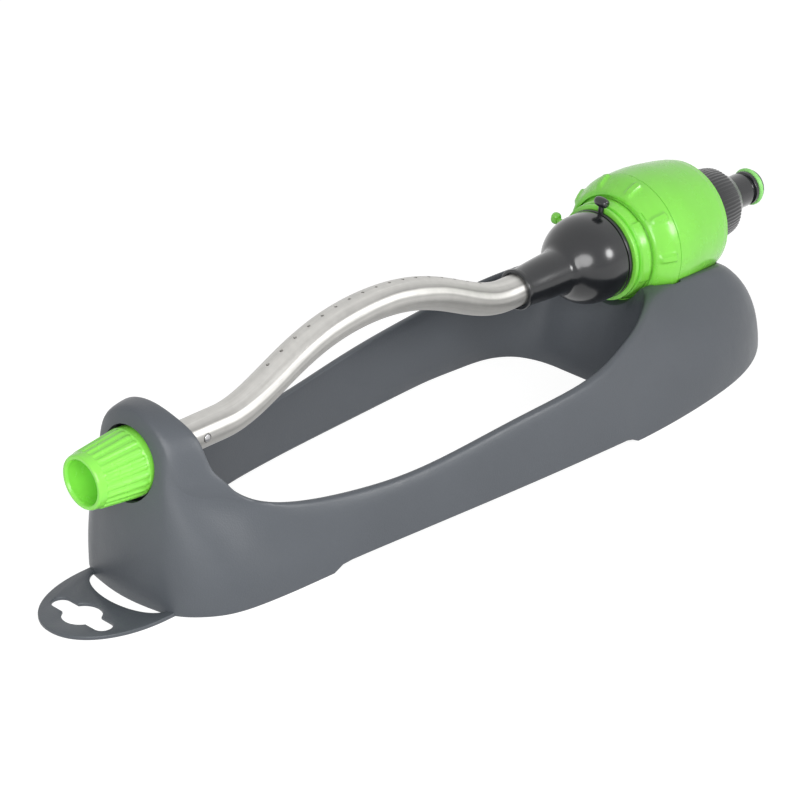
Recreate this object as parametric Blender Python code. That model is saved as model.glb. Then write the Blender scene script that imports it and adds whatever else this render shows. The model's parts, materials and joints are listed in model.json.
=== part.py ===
"""Oscillating lawn sprinkler: a moulded ring base carries a bent spray tube between a front post and a
water motor. Sizes are in millimetres and become metres where a mesh is made. X runs along the spray tube
towards the hose, Y across it and Z up. Places along X are counted from the motor's parting line until the
frames set them."""

import math

import bmesh
import bpy
from mathutils import Matrix, Vector

MM = 0.001

# Fits
GAP = 0.35
SHAFT_GAP = 0.35
WALL = 2.4
HAND_GAP = 1.5

# Spray axis
AXIS_HEIGHT = 62.7

# Spray tube
TUBE_RADIUS = 7.7
TUBE_WALL = 1.0
TUBE_FRONT_X = -312.0
TUBE_REAR_X = -64.0
ARCH_START_X = -268.5
ARCH_END_X = -90.7
ARCH_RISE = 24.3
ARCH_SKEW = 0.275
NOZZLE_COUNT = 17
NOZZLE_PITCH = 8.2
NOZZLE_FIRST_X = -239.2
NOZZLE_RADIUS = 0.6

# Front journal, its pin and the end cap
JOURNAL_REAR_X = -277.0
JOURNAL_BORE_RADIUS = 3.5
JOURNAL_FLANGE = 2.0
STUB_LENGTH = 10.0
STUB_RADIUS = 7.2
PIN_X = -281.5
PIN_RADIUS = 1.7
CAP_TIP_X = -344.5
CAP_TIP_RADIUS = 12.3
CAP_MOUTH_RADIUS = 10.0
CAP_MOUTH_DEPTH = 16.0
CAP_BASE_X = -320.5
CAP_BASE_RADIUS = 14.8
CAP_FLANGE_RADIUS = 15.4
CAP_REAR_X = -314.6
CAP_WEB = 2.4
CAP_RIBS = 20
CAP_RIB_HEIGHT = 0.45
WASHER_THICKNESS = 1.0
NEEDLE_RADIUS = 0.6
NEEDLE_LENGTH = 22.0

# Front post of the base
POST_FACE_X = -316.0
POST_BACK_X = -304.0
POST_FOOT_X = -326.0
POST_HEEL_X = -300.0
POST_RADIUS = 24.2
CAP_HOLE_RADIUS = 16.7
BUSH_RADIUS = 11.2
BUSH_FLANGE_RADIUS = 13.4
BUSH_FLANGE = 1.6
BUSH_SEAT_X = -303.0

# Ring of the base
RING_FRONT_HALF_WIDTH = 49.6
RING_REAR_HALF_WIDTH = 63.3
RING_FOOT_WIDTH = 11.0
RING_LOW_HEIGHT = 29.0
RING_REAR_HEIGHT = 38.0
CREST_WIDTH = 4.6
CREST_ROUND = 1.5
WALL_BULGE = 1.35
REAR_BULGE = 1.0
POST_BULGE = 0.9
SIDE_RAISE = 3.0
FRONT_FOOT_END_X = -250.0
REAR_FOOT_START_X = -67.0
FOOT_RAMP = 7.0
STEPS_PER_SPAN = 2

# Cradle of the base
CRADLE_FRONT_X = -23.0
CRADLE_REAR_X = 41.0
CRADLE_DROP = 9.7
CRADLE_LIP_DROP = 26.7
INNER_REAR_X = -38.5
BASE_REAR_X = 66.5

# Hang tab
TAB_TIP_X = -366.3
TAB_ROOT_X = -325.0
TAB_HALF_WIDTH = 28.0
TAB_THICKNESS = 1.8
TAB_POWER = 2.1
CRESCENT_X = -321.5
CRESCENT_REACH = 12.0
CRESCENT_HALF_WIDTH = 24.0
SLOT_X = -348.8
SLOT_HALF_LENGTH = 18.0
SLOT_HALF_WIDTH = 4.3
SLOT_EYE_RADIUS = 8.8

# Dome coupling and output shaft
NECK_X = -84.5
NECK_RADIUS = 9.9
NECK_ROOT_RADIUS = 10.8
DOME_X = -35.9
DOME_LENGTH = 21.7
DOME_RADIUS = 21.7
DOME_REAR_X = -29.6
DOME_WALL = 2.2
HUB_RADIUS = 8.8
HUB_REAR_X = -27.8
SHAFT_RADIUS = 5.8
SHAFT_BORE_RADIUS = 4.0
SHAFT_FRONT_X = -58.0
HEX_FRONT_RADIUS = 5.7
HEX_TAIL_RADIUS = 4.4
ARBOR_RADIUS = 1.5

# Front cover, limit rings and grip collar
COVER_FRONT_X = -29.0
COVER_NECK_RADIUS = 19.0
COVER_NECK_WALL = 2.0
COVER_WALL_X = -19.0
COVER_WALL = 2.0
COVER_BOSS_RADIUS = 10.6
COVER_BOSS_REAR_X = -15.0
COVER_SKIRT_X = 8.5
COVER_SKIRT_WALL = 1.8
SEAL_RADIUS = 8.4
SEAL_WIDTH = 1.8
RING_WIDTH_BLACK = 2.0
RING_WALL_BLACK = 2.55
RING_WALL_GREEN = 4.45
RING_GROOVE = 1.3
PAD_HEIGHT = 1.0
PAD_COUNT = 4
TAB_HEAD_RADIUS = 2.5
BLACK_HEAD_LENGTH = 7.6
GREEN_HEAD_LENGTH = 5.2
TAB_STEM_RADIUS = 0.9
BLACK_TAB_REACH = 27.5
GREEN_TAB_REACH = 30.8
BLACK_TAB_ANGLE = 5.0
GREEN_TAB_ANGLE = -74.0
COLLAR_FRONT_X = -17.6
COLLAR_SHAPE = ((-17.6, 28.0), (-14.0, 30.4), (-9.5, 32.6), (-5.0, 33.2))
COLLAR_WALL = 2.3
GRIP_COUNT = 10
GRIP_HEIGHT = 1.2
GRIP_ANGLE = 14.3

# Motor barrel and its feet
BARREL_FRONT_X = -4.6
BARREL_REAR_X = 34.2
BARREL_SHAPE = ((-4.6, 32.4), (-4.0, 32.8), (2.0, 33.0), (9.0, 32.8))
BARREL_SHAPE += ((16.0, 31.9), (24.0, 30.6), (30.0, 29.4), (33.4, 28.2))
BARREL_REAR_RADIUS = 26.0
BARREL_WALL = 2.6
SPIGOT_RADIUS = 12.8
SPIGOT_BORE_RADIUS = 8.9
SPIGOT_LENGTH = 13.0
GASKET_WIDTH = 1.2
BOSS_RADIUS = 4.0
BOSS_TOP = 22.6
BOSS_FRONT_X = 14.7
BOSS_REAR_X = 26.0
MOUNT_SCREW_RADIUS = 1.9
MOUNT_SCREW_LENGTH = 11.0
MOUNT_HEAD_RADIUS = 3.8
MOUNT_HEAD_HEIGHT = 2.2

# Gear train
MODULE = 0.8
WHEEL_TEETH = 24
PINION_TEETH = 10
PRESSURE_ANGLE = 25.0
ADDENDUM = 0.8
DEDENDUM = 1.1
BACKLASH = 0.16
WHEEL_WIDTH = 2.0
STAGE = 2.6
TRAIN_X = -4.0
PLATE_THICKNESS = 1.8
PLATE_FRONT_X = -7.4
PLATE_FRONT_RADIUS = 22.6
PLATE_REAR_X = 7.0
PILLAR_RADIUS = 2.6
PILLAR_CIRCLE = 19.0
PILLAR_ANGLES = (52.0, 112.0, -52.0, -112.0)
GEAR_SCREW_RADIUS = 1.1
GEAR_SCREW_HEAD = 2.2
GEAR_SCREW_HEAD_HEIGHT = 1.4
GEAR_SCREW_LENGTH = 8.0

# Turbine, jets and reversing lever
TURBINE_X = 10.0
TURBINE_WIDTH = 7.0
TURBINE_RADIUS = 14.0
TURBINE_HUB_RADIUS = 5.0
TURBINE_BLADES = 12
BLADE_THICKNESS = 1.2
JET_PLATE_X = 19.0
JET_PLATE_THICKNESS = 2.5
JET_COUNT = 6
JET_RADIUS = 1.7
JET_CIRCLE = 10.5
JET_TILT = 20.0
LEVER_HEIGHT = 17.5
LEVER_ROD_RADIUS = 1.4
LEVER_FINGER_X = -14.0
LEVER_FINGER_WIDTH = 1.8
LEVER_FINGER_REACH = 2.6
VANE_X = 22.6
VANE_WIDTH = 1.8
VANE_LENGTH = 12.0
VANE_HALF_WIDTH = 4.0

# Hose end
STRAINER_LENGTH = 9.0
STRAINER_WALL = 0.8
UNION_FRONT_X = 38.0
UNION_RADIUS = 18.1
UNION_WAIST_X = 58.0
UNION_REAR_X = 64.0
UNION_REAR_RADIUS = 13.2
UNION_RIBS = 20
UNION_RIB_HEIGHT = 0.4
FLANGE_THICKNESS = 2.0
NIPPLE_RADIUS = 8.5
NIPPLE_BORE_RADIUS = 5.5
NIPPLE_END_X = 86.0
NIPPLE_WAIST_RADIUS = 7.0
NIPPLE_WAIST_X = 77.4
NIPPLE_WAIST_LENGTH = 1.2
NIPPLE_TIP_RADIUS = 7.4
O_RING_X = 82.2
O_RING_WIRE = 1.4

# Values worked out from the ones above
SHIFT_X = -(TAB_TIP_X + NIPPLE_END_X) / 2
CENTRE_DISTANCE = MODULE * (WHEEL_TEETH + PINION_TEETH) / 2
PINION_RADIUS = MODULE * PINION_TEETH / 2
SADDLE_RADIUS = max(radius for x, radius in BARREL_SHAPE) + GAP
COVER_SKIRT_RADIUS = BARREL_SHAPE[0][1] - BARREL_WALL - GAP
PLATE_REAR_RADIUS = COVER_SKIRT_RADIUS - COVER_SKIRT_WALL - GAP
PARTING_X = BARREL_FRONT_X - GAP / 2
TUBE_BORE_RADIUS = TUBE_RADIUS - TUBE_WALL
STUB_FRONT_X = TUBE_FRONT_X - JOURNAL_FLANGE - GAP - STUB_LENGTH


def mesh_object(name, bm, material, smooth=True):
    """One object in the scene from a finished bmesh in millimetres."""
    bmesh.ops.recalc_face_normals(bm, faces=bm.faces)
    bmesh.ops.scale(bm, vec=Vector((MM, MM, MM)), verts=bm.verts)
    mesh = bpy.data.meshes.new(name)
    bm.to_mesh(mesh)
    bm.free()
    obj = bpy.data.objects.new(name, mesh)
    bpy.context.scene.collection.objects.link(obj)
    if material is not None:
        mesh.materials.append(material)
    if smooth:
        mesh.shade_smooth()
        mesh.set_sharp_from_angle(angle=math.radians(35))
    return obj


def plastic(name, colour, roughness, metallic=0.0):
    """A plain surface with one colour."""
    material = bpy.data.materials.new(name)
    material.use_nodes = True
    shader = material.node_tree.nodes["Principled BSDF"]
    shader.inputs["Base Color"].default_value = (*colour, 1.0)
    shader.inputs["Roughness"].default_value = roughness
    shader.inputs["Metallic"].default_value = metallic
    return material


def lathe(name, profile, material, sides=32, swell=None, closed=True):
    """Turns (x, radius) points about X. swell(x, radius, angle) may raise the surface round the turn."""
    bm = bmesh.new()
    rows = []
    for step in range(sides):
        angle = 2 * math.pi * step / sides
        row = []
        for index, (x, radius) in enumerate(profile):
            if radius == 0:
                row.append(rows[0][index] if rows else bm.verts.new((x, 0, 0)))
                continue
            grown = radius + (swell(x, radius, step) if swell else 0)
            row.append(bm.verts.new((x, -grown * math.sin(angle), grown * math.cos(angle))))
        rows.append(row)
    pairs = [(i, i + 1) for i in range(len(profile) - 1)]
    if closed:
        pairs.append((len(profile) - 1, 0))
    for row, following in zip(rows, rows[1:] + rows[:1]):
        for first, second in pairs:
            corners = dict.fromkeys([row[first], row[second], following[second], following[first]])
            if len(corners) > 2:
                bm.faces.new(list(corners))
    return mesh_object(name, bm, material)


def rod(name, x_start, x_end, radius, material=None, sides=16):
    """A plain round bar along X."""
    return prism(name, circle(radius, sides), x_start, x_end, material, smooth=True)


def prism(name, outline, x_start, x_end, material=None, smooth=False):
    """A (y, z) outline pushed along X."""
    bm = bmesh.new()
    near = [bm.verts.new((x_start, y, z)) for y, z in outline]
    far = [bm.verts.new((x_end, y, z)) for y, z in outline]
    bm.faces.new(near)
    bm.faces.new(list(reversed(far)))
    for i in range(len(outline)):
        j = (i + 1) % len(outline)
        bm.faces.new((near[i], far[i], far[j], near[j]))
    return mesh_object(name, bm, material, smooth)


def block(name, low, high, material=None):
    """A box between two corners."""
    outline = [(low[1], low[2]), (high[1], low[2]), (high[1], high[2]), (low[1], high[2])]
    return prism(name, outline, low[0], high[0], material)


def circle(radius, sides, turn=0.0, centre=(0.0, 0.0)):
    """Points of a circle as (y, z), starting at the top."""
    angles = [turn + 2 * math.pi * i / sides for i in range(sides)]
    return [(centre[0] - radius * math.sin(a), centre[1] + radius * math.cos(a)) for a in angles]


def placed(obj, matrix):
    """The object's mesh moved by a matrix whose shift is in millimetres."""
    matrix = matrix.copy()
    matrix.translation = matrix.translation * MM
    obj.data.transform(matrix)
    return obj


def shape(obj, operation, *others):
    """Cuts the others from an object, or joins them to it, and removes them."""
    for other in others:
        modifier = obj.modifiers.new("shape", "BOOLEAN")
        modifier.operation = operation
        modifier.object = other
        bpy.context.view_layer.update()
        graph = bpy.context.evaluated_depsgraph_get()
        mesh = bpy.data.meshes.new_from_object(obj.evaluated_get(graph))
        obj.modifiers.clear()
        old = obj.data
        obj.data = mesh
        mesh.name = obj.name
        bpy.data.meshes.remove(old)
        bpy.data.objects.remove(other)
    return obj


def cut(obj, *others):
    return shape(obj, "DIFFERENCE", *others)


def join(obj, *others):
    return shape(obj, "UNION", *others)


def upright(name, x, y, bottom, top, radius, material=None, sides=16):
    """A round bar along Z."""
    bar = rod(name, bottom, top, radius, material, sides)
    return placed(bar, Matrix.Translation((x, y, 0)) @ Matrix.Rotation(-math.pi / 2, 4, "Y"))


def crossbar(name, x, z, start, end, radius, material=None, sides=12):
    """A round bar along Y."""
    bar = rod(name, start, end, radius, material, sides)
    return placed(bar, Matrix.Translation((x, 0, z)) @ Matrix.Rotation(math.pi / 2, 4, "Z"))


def blend(knots, span, t):
    """A smooth curve through the knots, between knot span and the next one."""
    a, b, c, d = (Vector(knots[span + k]) for k in (-1, 0, 1, 2))
    return 0.5 * (
        2 * b + (c - a) * t + (2 * a - 5 * b + 4 * c - d) * t**2 + (3 * b - a - 3 * c + d) * t**3
    )


def arch_height(x):
    """Height of the spray tube's centre line above the spray axis."""
    if not ARCH_START_X < x < ARCH_END_X:
        return 0.0
    turn = 2 * math.pi * (x - ARCH_START_X) / (ARCH_END_X - ARCH_START_X)
    return ARCH_RISE * (1 - math.cos(turn + ARCH_SKEW * math.sin(turn))) / 2


def radius_at(outline, x):
    """The radius at x on an outline of (x, radius) points."""
    for (x_before, before), (x_after, after) in zip(outline, outline[1:]):
        if x_before <= x <= x_after:
            return before + (after - before) * (x - x_before) / (x_after - x_before)
    raise ValueError(f"{x} lies off the outline")


def ring_knots():
    """Half of the base ring, from the front centre round to the rear centre. Each knot holds the outer
    foot, the outer and inner edges of the crest, and the inner foot."""
    face, back = POST_FACE_X, POST_BACK_X
    foot, heel = POST_FOOT_X, POST_HEEL_X
    arch = ((0, 0, 0, 0), (30, 9, 6, 0.8), (60, 18, 12, 3.6), (90, 26.5, 18, 5.6))
    knots = []
    for degrees, foot_y, heel_y, flare in arch:
        turn = math.radians(degrees)
        near = (POST_RADIUS * math.sin(turn), AXIS_HEIGHT + POST_RADIUS * math.cos(turn))
        reach = POST_RADIUS + flare
        far = (reach * math.sin(turn), AXIS_HEIGHT + reach * math.cos(turn))
        bow = 4.0 * (foot_y / 26.5) ** 2
        knots.append(((foot + bow, foot_y, 0), (face, *near), (back + flare, *far), (heel, heel_y, 0)))
    front, rear = RING_FRONT_HALF_WIDTH, RING_REAR_HALF_WIDTH
    low, high = RING_LOW_HEIGHT, RING_REAR_HEIGHT
    width, crest = RING_FOOT_WIDTH, CREST_WIDTH
    top = AXIS_HEIGHT - CRADLE_DROP
    lip = AXIS_HEIGHT - CRADLE_LIP_DROP
    seat, inside = CRADLE_FRONT_X, INNER_REAR_X
    knots += [
        (
            (foot + 11, front - 13.5, 0),
            (face + 5, 28.5, top + 1.0),
            (back + 10.5, 33.0, top + 2.5),
            (heel + 3, 24.5, 0),
        ),
        (
            (foot + 25, front - 4.5, 0),
            (face + 21, 36.0, top - 6.5),
            (back + 17, 35.0, top - 5.5),
            (heel + 15, 30.0, 0),
        ),
        (
            (-276.0, front - 0.6, 0),
            (-271.0, front - 7.6, top - 14.5),
            (-268.5, front - 11.0, top - 14.2),
            (-266.0, 36.5, 0),
        ),
        (
            (-240.0, front + 1.4, 0),
            (-238.0, 45.6, low + 2.4),
            (-236.0, 45.6 - crest, low + 2.4),
            (-236.0, 40.5, 0),
        ),
        ((-195.0, front + 5.2, 0), (-195.0, 50.6, low), (-195.0, 50.6 - crest, low), (-195.0, 44.8, 0)),
        (
            (-140.0, rear - 4.0, 0),
            (-140.0, 55.0, low + 5.2),
            (-140.0, 55.0 - crest, low + 5.2),
            (-140.0, 47.6, 0),
        ),
        ((-92.0, rear - 1.0, 0), (-92.0, 57.4, high - 1.5), (-92.0, 57.4 - crest, high), (-92.0, 49.6, 0)),
        (
            (-60.0, rear, 0),
            (-61.0, 51.8, top - 12.0),
            (-61.5, 47.5, top - 9.2),
            (-60.0, rear - width - 4.0, 0),
        ),
        ((-26.0, rear - 2.0, 0), (-42.0, 45.5, top - 8.0), (-44.5, 41.0, top - 5.8), (-45.5, 41.0, 0)),
        ((8.0, rear - 7.0, 0), (-23.5, 35.5, top - 2.2), (-28.0, 30.5, top - 2.5), (-40.0, 30.0, 0)),
        ((33.0, rear - 15.5, 0), (2.0, 33.5, top - 1.5), (seat, 23.0, lip + 15.5), (inside, 20.0, 0)),
        ((51.5, rear - 28.0, 0), (23.0, 31.5, top - 2.0), (seat, 15.0, lip + 6.5), (inside, 13.0, 0)),
        ((62.5, rear - 44.0, 0), (36.5, 20.0, top - 8.0), (seat, 7.0, lip + 1.5), (inside, 6.5, 0)),
        ((BASE_REAR_X, 0, 0), (CRADLE_REAR_X, 0, top - 11.0), (seat, 0, lip + 0.5), (inside, 0, 0)),
    ]
    return knots


def mirrored(knot):
    return tuple((x, -y, z) for x, y, z in knot)


def ring_stations():
    """The knots smoothed into stations all the way round the base."""
    knots = ring_knots()
    padded = [mirrored(knots[1])] + knots + [mirrored(knots[-2])]
    half = []
    for span in range(1, len(knots)):
        for step in range(STEPS_PER_SPAN):
            t = step / STEPS_PER_SPAN
            half.append([blend([k[i] for k in padded], span, t) for i in range(4)])
    half.append([Vector(point) for point in knots[-1]])
    other = [[Vector((p.x, -p.y, p.z)) for p in station] for station in reversed(half[1:-1])]
    return half + other


def foot_height(x):
    """The long sides stand a little off the ground between the front and rear feet."""
    rise = min((x - FRONT_FOOT_END_X) / FOOT_RAMP, (REAR_FOOT_START_X - x) / FOOT_RAMP)
    return SIDE_RAISE * min(max(rise, 0.0), 1.0)


def wall_point(foot, crest, share, bulge):
    """A point on a side wall at a share of its height."""
    across = share**bulge
    return Vector(
        (
            foot.x + (crest.x - foot.x) * across,
            foot.y + (crest.y - foot.y) * across,
            foot.z + (crest.z - foot.z) * share,
        )
    )


def section(station, before, after):
    """The closed outline of the ring's wall at one station: outer wall, crest, inner wall, the hollow."""
    outer_foot, crest_out, crest_in, inner_foot = (p.copy() for p in station)
    outer_foot.z = foot_height(outer_foot.x)
    inner_foot.z = foot_height(inner_foot.x)
    middle = (crest_out + crest_in) / 2
    travel = (after[1] + after[2] - before[1] - before[2]).normalized()
    across = (crest_in - crest_out).normalized()
    up = across.cross(travel).normalized()
    rearward = min(max((outer_foot.x - REAR_FOOT_START_X) / -REAR_FOOT_START_X, 0.0), 1.0)
    frontward = min(max((POST_HEEL_X + 10 - outer_foot.x) / 20, 0.0), 1.0)
    bulge = WALL_BULGE + REAR_BULGE * rearward + POST_BULGE * frontward
    edge_out = crest_out - up * CREST_ROUND
    edge_in = crest_in - up * CREST_ROUND
    points = [wall_point(outer_foot, edge_out, share, bulge) for share in (0, 0.25, 0.5, 0.75)]
    points += [edge_out, crest_out.lerp(crest_in, 0.25), crest_out.lerp(crest_in, 0.75), edge_in]
    points += [wall_point(inner_foot, edge_in, share, 1.0) for share in (0.5, 0)]
    inward = Vector((inner_foot.x - outer_foot.x, inner_foot.y - outer_foot.y, 0)).normalized()
    half_gap = max((crest_in - crest_out).length / 2 - WALL, 0.5)
    roof = middle - up * (WALL + CREST_ROUND)
    in_cradle = outer_foot.x > REAR_FOOT_START_X
    clear = SADDLE_RADIUS + WALL
    if in_cradle and abs(crest_in.y) < clear:
        reach = abs(crest_in.y)
        roof.z = min(roof.z, AXIS_HEIGHT - math.sqrt(clear**2 - reach**2))
    roof_out = roof - across * half_gap
    roof_in = roof + across * half_gap
    roof_out.z = roof.z
    roof_in.z = roof.z
    hollow_in = inner_foot - inward * WALL
    hollow_out = outer_foot + inward * WALL
    points += [hollow_in, wall_point(hollow_in, roof_in, 0.5, 1.0), roof_in]
    points += [roof_out, wall_point(hollow_out, roof_out, 0.5, bulge), hollow_out]
    return points


def tab_plate(material):
    """The flat hanging tab in front of the post, open in a crescent and an eyed slot."""
    reach = TAB_ROOT_X - TAB_TIP_X
    steps = 9
    rim = []
    for i in range(steps + 1):
        x = reach * math.sin(math.pi / 2 * i / steps)
        y = TAB_HALF_WIDTH * (1 - (x / reach) ** TAB_POWER) ** (1 / TAB_POWER)
        rim.append((TAB_ROOT_X - x, y))
    rim = [(CRESCENT_X + 2.5, TAB_HALF_WIDTH)] + rim
    outline = rim + [(x, -y) for x, y in reversed(rim[:-1])]
    hollow = []
    for i in range(9):
        turn = math.pi * i / 8
        hollow.append((CRESCENT_X - CRESCENT_REACH * math.sin(turn), -CRESCENT_HALF_WIDTH * math.cos(turn)))
    brink = CRESCENT_X + 2.5
    outline += [(brink, -CRESCENT_HALF_WIDTH)] + hollow + [(brink, CRESCENT_HALF_WIDTH)]
    turn_up = Matrix.Rotation(-math.pi / 2, 4, "Y")
    plate = placed(prism("hang_tab", [(y, -x) for x, y in outline], 0, TAB_THICKNESS, material), turn_up)
    slot = []
    for side in (1, -1):
        for i in range(7):
            turn = math.pi * i / 6
            end = SLOT_HALF_LENGTH - SLOT_HALF_WIDTH + SLOT_HALF_WIDTH * math.sin(turn)
            slot.append((side * end, -SLOT_X - side * SLOT_HALF_WIDTH * math.cos(turn)))
    opening = placed(prism("slot", slot, -WALL, TAB_THICKNESS + WALL), turn_up)
    eye = upright("eye", SLOT_X, 0, -WALL, TAB_THICKNESS + WALL, SLOT_EYE_RADIUS)
    return cut(plate, opening, eye)


def base_frame(material):
    """The moulded ring with its front post, motor cradle and hang tab."""
    stations = ring_stations()
    count = len(stations)
    bm = bmesh.new()
    rows = []
    for i, station in enumerate(stations):
        points = section(station, stations[i - 1], stations[(i + 1) % count])
        rows.append([bm.verts.new(p) for p in points])
    for row, following in zip(rows, rows[1:] + rows[:1]):
        for j in range(len(row)):
            k = (j + 1) % len(row)
            bm.faces.new((row[j], row[k], following[k], following[j]))
    base = mesh_object("base_frame", bm, material)
    lift = Matrix.Translation((0, 0, AXIS_HEIGHT))
    room = GRIP_HEIGHT + 2 * GAP
    ring_room = COVER_NECK_RADIUS + RING_WALL_GREEN + PAD_HEIGHT + HAND_GAP
    ahead = CRADLE_FRONT_X - SADDLE_RADIUS
    seat = [(ahead, 0), (ahead, ring_room), (COLLAR_FRONT_X - 2 * GAP, ring_room)]
    seat += [(COLLAR_FRONT_X - 2 * GAP, COLLAR_SHAPE[0][1] + room)]
    seat += [(x, radius + room) for x, radius in COLLAR_SHAPE[1:-1]]
    seat += [(PARTING_X, COLLAR_SHAPE[-1][1] + room - GAP)]
    seat += [(x, radius + GAP) for x, radius in BARREL_SHAPE[1:]]
    seat += [(BARREL_REAR_X + WALL, BARREL_SHAPE[-1][1] + GAP), (BARREL_REAR_X + WALL, 0)]
    saddle = lathe("saddle", seat, None, 32, closed=False)
    throat = rod("throat", BARREL_REAR_X, BASE_REAR_X + WALL, UNION_RADIUS + HAND_GAP, sides=24)
    cap_hole = rod("cap_hole", POST_FOOT_X - WALL, POST_FACE_X + 2 * WALL, CAP_HOLE_RADIUS, sides=32)
    step = [(POST_FACE_X + WALL, 0), (POST_FACE_X + WALL, BUSH_RADIUS), (BUSH_SEAT_X, BUSH_RADIUS)]
    step += [(BUSH_SEAT_X, BUSH_FLANGE_RADIUS + HAND_GAP)]
    step += [(POST_HEEL_X + 4 * WALL, radius) for radius in (BUSH_FLANGE_RADIUS + HAND_GAP, 0)]
    bush_hole = lathe("bush_hole", step, None, 24, closed=False)
    cut(base, *(placed(cutter, lift) for cutter in (saddle, throat, cap_hole, bush_hole)))
    for x in (BOSS_FRONT_X, BOSS_REAR_X):
        top = AXIS_HEIGHT - radius_at(BARREL_SHAPE, x) + WALL
        cut(base, upright("screw_hole", x, 0, 0, top, MOUNT_SCREW_RADIUS + GAP))
    return join(base, tab_plate(None))


def front_bush(material):
    """The plain bearing that snaps into the post's back wall."""
    inner = TUBE_RADIUS + SHAFT_GAP
    outer = BUSH_RADIUS - GAP
    back = BUSH_SEAT_X + GAP
    front = POST_BACK_X - WALL - GAP
    profile = [
        (front, inner),
        (front, outer),
        (back, outer),
        (back, BUSH_FLANGE_RADIUS),
        (back + BUSH_FLANGE, BUSH_FLANGE_RADIUS),
        (back + BUSH_FLANGE, inner),
    ]
    return lathe("front_bush", profile, material, 18)


def spray_tube(material):
    """The bent spray tube with its row of nozzle holes."""
    sides = 16
    bends = 15
    xs = [TUBE_FRONT_X]
    xs += [ARCH_START_X + (ARCH_END_X - ARCH_START_X) * i / bends for i in range(bends + 1)]
    xs.append(TUBE_REAR_X)
    bm = bmesh.new()
    shells = []
    for radius in (TUBE_RADIUS, TUBE_BORE_RADIUS):
        rings = []
        for x in xs:
            slope = (arch_height(x + 0.5) - arch_height(x - 0.5)) if TUBE_FRONT_X < x < TUBE_REAR_X else 0
            normal = Vector((-slope, 0, 1)).normalized()
            centre = Vector((x, 0, arch_height(x)))
            ring = []
            for y, z in circle(radius, sides):
                ring.append(bm.verts.new(centre + Vector((0, y, 0)) + normal * z))
            rings.append(ring)
        shells.append(rings)
    outer, inner = shells
    for rings in shells:
        for a, b in zip(rings, rings[1:]):
            for i in range(sides):
                j = (i + 1) % sides
                bm.faces.new((a[i], a[j], b[j], b[i]))
    for end in (0, -1):
        for i in range(sides):
            j = (i + 1) % sides
            bm.faces.new((outer[end][i], outer[end][j], inner[end][j], inner[end][i]))
    tube = mesh_object("spray_tube", bm, material)
    drills = []
    for i in range(NOZZLE_COUNT):
        x = NOZZLE_FIRST_X + NOZZLE_PITCH * i
        top = arch_height(x) + TUBE_RADIUS
        drills.append(upright("drill", x, 0, top - TUBE_RADIUS, top + TUBE_WALL, NOZZLE_RADIUS, sides=5))
    drills.append(crossbar("pin_hole", PIN_X, 0, -2 * TUBE_RADIUS, 2 * TUBE_RADIUS, PIN_RADIUS + GAP))
    return cut(tube, *drills)


def front_journal(material):
    """The plug in the tube's front end, with the threaded stub for the cap."""
    plug = TUBE_BORE_RADIUS - GAP - 0.15
    flange_x = TUBE_FRONT_X - GAP
    profile = [
        (STUB_FRONT_X, JOURNAL_BORE_RADIUS),
        (STUB_FRONT_X, STUB_RADIUS),
        (flange_x - JOURNAL_FLANGE, STUB_RADIUS),
        (flange_x - JOURNAL_FLANGE, TUBE_RADIUS),
        (flange_x, TUBE_RADIUS),
        (flange_x, plug),
        (JOURNAL_REAR_X - 2.0, plug),
        (JOURNAL_REAR_X, plug - 0.9),
        (JOURNAL_REAR_X, JOURNAL_BORE_RADIUS),
    ]
    journal = lathe("front_journal", profile, material, 16)
    hole = crossbar("hole", PIN_X, 0, -2 * TUBE_RADIUS, 2 * TUBE_RADIUS, PIN_RADIUS + GAP)
    return cut(journal, hole)


def journal_pin(material):
    """The cross pin that keeps the journal in the tube."""
    return crossbar("journal_pin", PIN_X, 0, -TUBE_RADIUS - 0.2, TUBE_RADIUS + 0.2, PIN_RADIUS, material, 12)


def end_cap(material):
    """The knurled cap: a mouth at its tip and a threaded socket over the stub."""
    web_front = CAP_TIP_X + CAP_MOUTH_DEPTH
    socket = web_front + CAP_WEB
    profile = [
        (CAP_TIP_X + 0.8, CAP_MOUTH_RADIUS),
        (CAP_TIP_X, (CAP_MOUTH_RADIUS + CAP_TIP_RADIUS) / 2),
        (CAP_TIP_X + 0.9, CAP_TIP_RADIUS),
        (CAP_TIP_X + 4.0, CAP_TIP_RADIUS + 0.55),
        (CAP_TIP_X + 4.6, CAP_TIP_RADIUS + 0.3),
        (CAP_BASE_X, CAP_BASE_RADIUS),
        (CAP_BASE_X + 2.0, CAP_FLANGE_RADIUS),
        (CAP_REAR_X, CAP_FLANGE_RADIUS - 0.6),
        (CAP_REAR_X, STUB_RADIUS + GAP),
        (socket, STUB_RADIUS + GAP),
        (socket, NEEDLE_RADIUS + GAP),
        (web_front, NEEDLE_RADIUS + GAP),
        (web_front, CAP_MOUTH_RADIUS - 0.4),
    ]

    def knurl(x, radius, step):
        ribbed = CAP_TIP_X + 4.3 < x <= CAP_BASE_X and radius > CAP_TIP_RADIUS
        return CAP_RIB_HEIGHT * (step % 2) if ribbed else 0

    return lathe("end_cap", profile, material, 2 * CAP_RIBS, knurl)


def cap_washer(material):
    """The flat seal between the cap and the stub's end."""
    rear = STUB_FRONT_X - GAP
    profile = [
        (rear - WASHER_THICKNESS, JOURNAL_BORE_RADIUS - 0.5),
        (rear - WASHER_THICKNESS, STUB_RADIUS - GAP),
        (rear, STUB_RADIUS - GAP),
        (rear, JOURNAL_BORE_RADIUS - 0.5),
    ]
    return lathe("cap_washer", profile, material, 16)


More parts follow.
